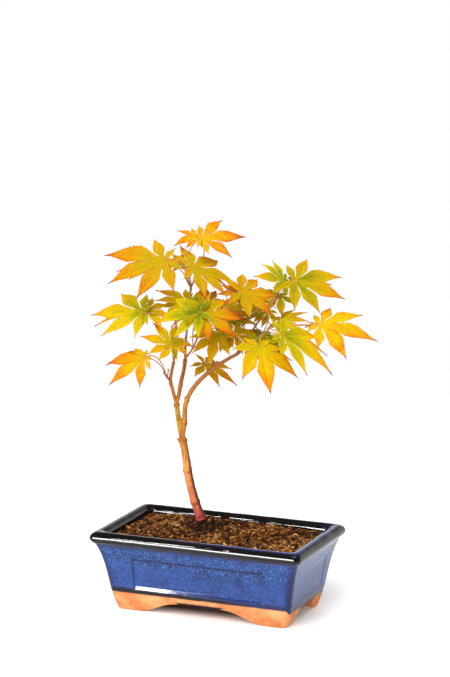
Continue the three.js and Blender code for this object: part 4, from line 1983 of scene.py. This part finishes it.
    def _tone(self, lobe: Lobe, station: int, column: int, face: Sequence[int]) -> int:
        """Returns the tone of a face: riper towards the tip and the margin, greener along the rib.

        Args:
            lobe: its lobe.
            station: along the lobe.
            column: out from the rib.
            face: its points.

        Returns:
            The tone.
        """
        tint = self.leaf.tint.value
        middle = sum((self.points[k] for k in face), Vector()) / len(face)
        out = middle.length / self.leaf.length
        share, tooth = self.STATIONS[station]
        across = self.SHAPE.columns[column + 1]
        ripeness = tint.middle + lobe.ripeness + tint.tips * out**1.5
        ripeness += tint.margins * (0.35 * across**2 + 0.65 * (across == 1) * ease(0.2, 0.5, share))
        ripeness += 0.3 * ease(0.86, 0.97, share)
        ripeness -= 0.08 if column == 0 else 0.035 * (tooth > 0)
        ripeness += 0.12 * ripple(middle, 0.2 * self.leaf.length, self.leaf.seed)
        ripeness += 0.05 * ripple(middle, 0.9, self.leaf.seed)
        # a tint flagged for it takes the darker copy of painted shade
        return self.RIPENING.tone(ripeness, tint.shaded_copy)

    def _thicken(self) -> None:
        """Turns the surface into a closed plate, walled along its margins."""
        count, half = len(self.points), Vector((0, 0, self.SHAPE.thickness / 2))
        edges = {
            (face[k - 1], face[k]): tone
            for face, tone in zip(self.faces, self.tones) for k in range(len(face))
        }
        under = [tuple(count + k for k in reversed(face)) for face in self.faces]
        rims = [(edge, tone) for edge, tone in edges.items() if (edge[1], edge[0]) not in edges]
        walls = [(b, a, a + count, b + count) for (a, b), _ in rims]
        self.faces += [*under, *walls]
        self.tones += [*self.tones, *(tone for _, tone in rims)]
        self.points = [*(p + half for p in self.points), *(p - half for p in self.points)]

    def placed(self) -> list[Vector]:
        """Returns the points where the leaf hangs.

        Returns:
            The points.
        """
        forward, left, up = self.leaf.axes()
        foot = tree_point(self.leaf.foot)
        return [foot + forward * p.x + left * p.y + up * p.z for p in self.points]


# ---------------- masses of foliage


def nearest_joint(foot: Place, joints: Sequence[Place]) -> Place:
    """Returns the joint that lies nearest to a leaf's foot."""
    return min(joints, key=lambda joint: math.dist(joint, foot))


@dataclass
class Mass:
    """A mass of leaves on twigs that grow on from one bough."""

    PAIRED_FROM = 38
    PAIR_SPREAD = 30
    PAIR_DROP = 0.2
    PAIR_SEED = 200
    TWIG_SEED = 100
    STALK_SIDES = 7
    STEM_SIDES = 10
    TWIG_SIDES = 6
    STALK, TWIG, BUD = 0, 1, 2

    name: str
    seed: int
    stem: Limb
    joints: Sequence[Place]
    leaves: Sequence[Leaf]

    def _partner(self, leaf: Leaf, growth: Growth) -> Leaf:
        """Returns the leaf that hangs across the twig from another, with its face turned away.

        Args:
            leaf: the other leaf.
            growth: the numbers to draw from.

        Returns:
            The partner.
        """
        joint = nearest_joint(leaf.foot, self.joints)
        side, depth, height = leaf.foot
        heading, _, faces = leaf.turn
        away = joint[1] + max(self.PAIR_SPREAD, joint[1] - depth)
        foot = (side + growth.between(-6, 6), away, height - self.PAIR_DROP * (away - depth))
        heading = -heading + growth.between(-25, 25)
        tilt = growth.between(24, 36)
        turn = (heading, tilt, -faces + growth.between(-15, 15))
        length = leaf.length * growth.between(0.72, 0.86)
        return Leaf(foot, turn, length, leaf.outer, leaf.seed + self.PAIR_SEED, leaf.tint)

    def build(self, taken: list[BVHTree]) -> None:
        """Grows the mass.

        Args:
            taken: the limbs and the masses grown so far, which no leaf may touch.
        """
        growth = Growth(self.seed)
        paired = [leaf for leaf in self.leaves if leaf.length >= self.PAIRED_FROM]
        partners = [self._partner(leaf, growth) for leaf in paired]
        blades, twigs = MeshMaker(), MeshMaker()
        for leaf in [*self.leaves, *partners]:
            blade = Blade(leaf)
            points = blade.placed()
            own = BVHTree.FromPolygons(points, blade.faces)
            if any(own.overlap(other) for other in taken):
                LOG.info("%s: leaf %d is left out, as it would touch", self.name, leaf.seed)
                continue
            blades.add(points, blade.faces, blade.tones)
            self._stalk(twigs, leaf)
        self._stem(twigs)
        self._side_twigs(twigs)
        leaves = blades.piece(f"leaves_{self.name}", Blade.RIPENING.finishes(), crease=70)
        settle(leaves, "leaves", f"foliage_{self.name}")
        settle(twigs.piece(f"twigs_{self.name}", TWIG_FINISHES), "bark")
        taken.append(BVHTree.FromPolygons(blades.points, blades.faces))

    def _stalk(self, maker: MeshMaker, leaf: Leaf) -> None:
        """Adds a leaf's stalk, which bends round to meet the leaf from behind.

        Args:
            maker: takes it.
            leaf: the leaf.
        """
        foot = tree_point(leaf.foot)
        joint = tree_point(nearest_joint(leaf.foot, self.joints))
        forward, _, up = leaf.axes()
        reach = (foot - joint).length
        path = Path.bent(joint, foot - forward * 0.4 * reach - up * 0.05 * reach, foot + forward * 1.2)
        maker.tube(
            path, lambda d: 0.48 + 0.4 * hump(d, 0, 1.6) + 0.25 * hump(d, path.length, 1.8),
            1.3, self.STALK_SIDES, self.STALK,
        )

    def _stem(self, maker: MeshMaker) -> None:
        """Adds the twig that carries the mass, swollen at its joints and with a bud at its end.

        Args:
            maker: takes it.
        """
        path = self.stem.path
        maker.tube(path, self._stem_radius_at, 0.8, self.STEM_SIDES, self.TWIG)
        end = path.along(path.length)
        maker.bud(path.at(path.length) - end * 0.5, end, 3.2, self.BUD)

    def _stem_radius_at(self, distance: float) -> float:
        """Returns the stem's radius at a distance from its start, swollen near its joints.

        Args:
            distance: in millimetres.

        Returns:
            The radius.
        """
        here = self.stem.path.at(distance)
        knot = sum(0.35 * hump((here - tree_point(joint)).length, 0, 1.6) for joint in self.joints)
        return self.stem.radius_at(distance) * (1 + knot)

    def _side_twigs(self, maker: MeshMaker) -> None:
        """Adds short bare side twigs in pairs, each with buds at its end.

        Args:
            maker: takes them.
        """
        growth = Growth(self.seed + self.TWIG_SEED)
        low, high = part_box(f"foliage_{self.name}")
        for joint in self.joints:
            start = tree_point(joint)
            bearing = growth.between(0, 180)
            for turn in (0, 180):
                way = bearing_vector(bearing + turn + growth.between(-20, 20))
                way.z = growth.between(0.5, 1.3)
                length = growth.between(6, 13)
                end = start + way.normalized() * length
                world = POT_MIDDLE + end * MM
                if all(a < value < b for a, value, b in zip(low, world, high)):
                    self._side_twig(maker, start, way, end)

    def _side_twig(self, maker: MeshMaker, start: Vector, way: Vector, end: Vector) -> None:
        """Adds one side twig and the pair of buds at its end.

        Args:
            maker: takes it.
            start: where it leaves the stem.
            way: where it grows.
            end: its tip.
        """
        bend = start.lerp(end, 0.5) + Vector((way.x, way.y, 0)) * 1.2
        path = Path.bent(start, bend, end)
        thick, thin = 0.6, 0.38
        maker.tube(
            path, lambda d: lerp(thick, thin, d / path.length), 1.2, self.TWIG_SIDES, self.TWIG
        )
        along = path.along(path.length)
        for turn in (-35, 35):
            tip_way = Matrix.Rotation(math.radians(turn), 3, "X") @ along
            maker.bud(end - along * 0.3, tip_way.normalized(), 2.2, self.BUD)


TWIG_FINISHES = (
    Skin("stalk", (0.6, 0.17, 0.07, 1), (0.55, 0.3, 0.05, 1)),
    Skin("twig", (0.33, 0.09, 0.04, 1), (0.45, 0.17, 0.05, 1)),
    Skin("bud", (0.22, 0.03, 0.02, 1), (0.35, 0.07, 0.04, 1), 0.4),
)


def masses() -> list[Mass]:
    """Returns the crown's masses, each on the bough that carries it.

    Returns:
        The masses, in the order that they grow.
    """
    return [
        Mass("left_low", 3, Limb([LEFT_JOINT, (-46, 16, 207)], 1, 0.8), [(-45, 17, 205)], [
            Leaf((-64, -5, 228), (191, 47, 241), 38, 0.6, 17, Tint.GOLD),
        ]),
        Mass(
            "left_top", 5, Limb([LEFT_TIP, (-39, 17, 226), (-37, 14, 249), (-37, 12, 258)], 1.1, 0.8),
            [(-39, 17, 226), (-37, 12, 257)],
            [
                Leaf((-41, -10, 240), (182, 50, 294), 28, 1.15, 148, Tint.SUN),
                Leaf((-66, 0, 267), (163, 37, 244), 49, 0.75, 46, Tint.GREEN),
                Leaf((-26, 14, 273), (195, 31, 300), 32, 1, 66, Tint.GREEN),
                Leaf((-33, 24, 270), (200, 35, 285), 22, 1, 12, Tint.OLIVE),
                Leaf((-62, 6, 268), (350, 36, 280), 26, 1, 71, Tint.LIME),
                Leaf((-39, -6, 241), (328, 38, 285), 18, 1, 19, Tint.SUN),
            ],
        ),
        Mass(
            "top", 7,
            Limb([MIDDLE_TIP, (-29, 33, 231), (-28, 35, 241), (-25, 38, 271), (-24, 39, 282)], 1.2, 0.9),
            [(-25, 38, 271), (-24, 39, 281)],
            [
                Leaf((-47, 8, 311), (187, 44, 262), 55, 0.8, 65, Tint.BRASS),
                Leaf((-22, 12, 304), (23, 30, 319), 50, 1.15, 110, Tint.HONEY),
                Leaf((-14, 30, 327), (15, 37, 277), 37, 0.65, 57, Tint.AMBER),
                Leaf((-18, 46, 326), (208, 29, 291), 23, 0.8, 58, Tint.AMBER),
                Leaf((-33, 34, 305), (165, 36, 275), 18, 1, 14, Tint.COPPER),
            ],
        ),
        Mass(
            "centre", 11, Limb([MIDDLE_TIP, (-22, 22, 231), (-16, 10, 248)], 0.9, 0.8),
            [(-22, 22, 231), (-16, 10, 247)],
            [
                Leaf((-13, -30, 272), (7, 39, 286), 39, 1.15, 131, Tint.EMBER),
                Leaf((-16, -31, 273), (177, 36, 252), 38, 1, 57, Tint.FERN),
                Leaf((-2, -10, 249), (262, 42, 262), 32, 1.1, 107, Tint.SUN),
                Leaf((9, 14, 258), (5, 35, 290), 25, 1, 31, Tint.OLIVE),
                Leaf((10, 8, 269), (20, 30, 280), 22, 1, 37, Tint.EMBER),
                Leaf((3, 26, 263), (5, 34, 285), 26, 1, 29, Tint.SHADE),
                Leaf((-9, 6, 274), (55, 40, 290), 20, 1, 18, Tint.EMBER),
                Leaf((22, 22, 254), (150, 38, 280), 19, 1, 22, Tint.OLIVE),
                Leaf((14, -6, 250), (300, 42, 285), 27, 1.1, 41, Tint.HONEY),
                Leaf((6, 0, 246), (215, 40, 280), 22, 1, 52, Tint.MOSS),
            ],
        ),
        Mass("under", 13, Limb([RIGHT_JOINT, (-4, 22, 218)], 0.9, 0.8), [(-4, 21, 217)], [
            Leaf((-12, 37, 213), (348, 29, 321), 37, 0.9, 94, Tint.SUN),
        ]),
        Mass(
            "right_front", 17, Limb([RIGHT_TIP, (39, 4, 247), (48, 0, 255)], 0.9, 0.8),
            [(39, 4, 247), (48, 0, 254)],
            [
                Leaf((36, -30, 242), (284, 41, 293), 46, 0.75, 74, Tint.SUN),
                Leaf((55, -42, 255), (7, 41, 321), 53, 0.8, 45, Tint.GREEN),
                Leaf((55, 16, 256), (339, 22, 220), 29, 1.15, 81, Tint.LIME),
                Leaf((89, -10, 258), (346, 27, 267), 52, 0.75, 119, Tint.GOLD),
                Leaf((37, -8, 243), (300, 50, 300), 32, 1, 23, Tint.OLIVE),
                Leaf((46, 22, 236), (330, 38, 300), 20, 1, 43, Tint.SHADE),
                Leaf((39, 20, 244), (250, 40, 280), 20, 1, 47, Tint.SHADE),
            ],
        ),
        Mass(
            "right_top", 19, Limb([RIGHT_TIP, (32, 12, 251), (37, 14, 258), (48, 20, 272)], 1, 0.8),
            [(37, 14, 258), (48, 20, 271)],
            [
                Leaf((68, 10, 293), (350, 43, 277), 42, 1, 72, Tint.MOSS),
                Leaf((58, 34, 289), (217, 49, 318), 29, 1, 59, Tint.OLIVE),
                Leaf((20, -12, 287), (20, 37, 303), 38, 1.15, 148, Tint.BRASS),
                Leaf((54, 28, 277), (235, 40, 280), 25, 1, 26, Tint.MOSS),
                Leaf((36, 22, 264), (190, 40, 285), 17, 1, 34, Tint.SHADE),
                Leaf((19, -7, 284), (190, 36, 285), 20, 1, 33, Tint.COPPER),
                Leaf((44, 12, 266), (215, 40, 280), 21, 1, 38, Tint.MOSS),
            ],
        ),
    ]


# ---------------- studio


@dataclass
class Studio:
    """The pale floor, the soft lights and the camera."""

    azimuth: float = 22.8
    elevation: float = 11.3
    distance: float = 2500
    aim_side: float = 6.1
    aim_height: float = 243.6
    lens: float = 152
    floor_radius: float = 900
    floor_depth: float = 4
    floor_sides: int = 96
    lit_height: float = 120
    lamp_distance: float = 1200
    sun: float = 2.3
    sun_width: float = 40
    ambient: float = 0.8
    ambient_right: float = 0.35
    dim: float = 0.12
    backdrop: float = 1.4

    def build(self) -> None:
        """Builds the floor, lights, world and camera."""
        self._floor()
        self._world()
        self._lights()
        self._camera()

    def _floor(self) -> None:
        """Lays the floor."""
        maker = MeshMaker()
        turns = [2 * math.pi * k / self.floor_sides for k in range(self.floor_sides)]
        rim = [Vector((math.cos(turn), math.sin(turn), 0)) * self.floor_radius for turn in turns]
        maker.loft([[point + Vector((0, 0, z)) for point in rim] for z in (-self.floor_depth, 0)])
        floor = maker.piece("floor", [Floor()])

    def _world(self) -> None:
        """Surrounds the scene with pale light, of which shiny surfaces see a low pale backdrop."""
        world = bpy.data.worlds.new("studio")
        bpy.context.scene.world = world
        world.use_nodes = True
        recipe = Recipe(world.node_tree, "Background")
        way = recipe.sides(recipe.node("ShaderNodeTexCoord")["Generated"])
        backdrop = way["Y"].rise(0.05, 0.6) * way["Z"].rise(0.6, 0.2)
        reflected = backdrop * (self.backdrop - self.dim) + self.dim
        rays = recipe.node("ShaderNodeLightPath")
        around = self.ambient - way["X"].rise(0.1, 0.9) * (self.ambient - self.ambient_right)
        lit = around + rays["Is Glossy Ray"] * (reflected - around)
        recipe.finish(Color=(1, 1, 1, 1), Strength=lit + rays["Is Camera Ray"] * (1.0 - around))
        bpy.context.scene.view_settings.view_transform = "Standard"

    def _lights(self) -> None:
        """Hangs a soft sun, a softbox above and, for reflections alone, a strip and two panes."""
        sun = bpy.data.lights.new("key_sun", "SUN")
        sun.energy = self.sun
        sun.angle = math.radians(self.sun_width)
        self._hang(sun, 5, 46).visible_glossy = False
        self._softbox("softbox_top", 10, 78, (700, 300), 8)
        self._softbox("strip_front", -23, 5, (520, 400), 60, True)
        self._softbox("pane_left", -30.4, 33.6, (23, 260), 100, True)
        self._softbox("pane_right", -28.95, 33.6, (12, 260), 220, True)

    def _softbox(
        self, name: str, azimuth: float, elevation: float, size: Pair, glow: float,
        only_reflected: bool = False,
    ) -> None:
        """Hangs a softbox.

        Args:
            name: its name.
            azimuth: where it hangs round the tree, in degrees.
            elevation: how high it hangs, in degrees.
            size: its width and height.
            glow: how bright it looks; a white wall looks 1.
            only_reflected: whether only shiny surfaces see it.
        """
        light = bpy.data.lights.new(name, "AREA")
        light.shape = "RECTANGLE"
        light.size, light.size_y = size[0] * MM, size[1] * MM
        light.energy = glow * math.pi * light.size * light.size_y
        self._hang(light, azimuth, elevation).visible_diffuse = not only_reflected

    def _hang(self, light: bpy.types.Light, azimuth: float, elevation: float) -> bpy.types.Object:
        """Places a light round the tree by azimuth and elevation, facing the trunk."""
        lit = Vector((0, 0, self.lit_height))
        return self._aimed(light, lit, self._back(azimuth, elevation), self.lamp_distance)

    def _aimed(self, data: bpy.types.ID, aim: Vector, back: Vector, away: float) -> bpy.types.Object:
        """Places a lamp or the camera so that it faces a point.

        Args:
            data: the lamp or camera.
            aim: the point.
            back: the way from the point to it.
            away: how far off it is.

        Returns:
            The object.
        """
        made = put_in_scene(data)
        made.location = POT_MIDDLE + (aim + back * away) * MM
        made.rotation_euler = (-back).to_track_quat("-Z", "Y").to_euler()
        return made

    @staticmethod
    def _back(azimuth: float, elevation: float) -> Vector:
        """Returns the direction from the tree to a viewer.

        Args:
            azimuth: round from the front, in degrees.
            elevation: up from level, in degrees.

        Returns:
            A vector one long.
        """
        turn, rise = math.radians(azimuth), math.radians(elevation)
        level = math.cos(rise)
        return Vector((math.sin(turn) * level, -math.cos(turn) * level, math.sin(rise)))

    def _camera(self) -> None:
        """Sets up the camera."""
        camera = bpy.data.cameras.new("camera")
        camera.lens = self.lens
        camera.clip_end = 20
        turn = math.radians(self.azimuth)
        right = Vector((math.cos(turn), math.sin(turn), 0))
        aim = right * self.aim_side + Vector((0, 0, self.aim_height))
        back = self._back(self.azimuth, self.elevation)
        bpy.context.scene.camera = self._aimed(camera, aim, back, self.distance)


def main() -> None:
    """Builds the plant and its studio in order."""
    logging.basicConfig(level=logging.INFO, format="%(name)s: %(message)s")
    pot = Pot()
    pot.build()
    Feet(pot).build()
    Soil(pot).build()
    wood = Wood()
    wood.build()
    bark = bpy.data.objects["trunk_and_boughs"].data
    places = [(vertex.co - POT_MIDDLE) / MM for vertex in bark.vertices]
    taken = [BVHTree.FromPolygons(places, [tuple(face.vertices) for face in bark.polygons])]
    for mass in masses():
        mass.build(taken)
    Studio().build()


if __name__ == "__main__":
    main()
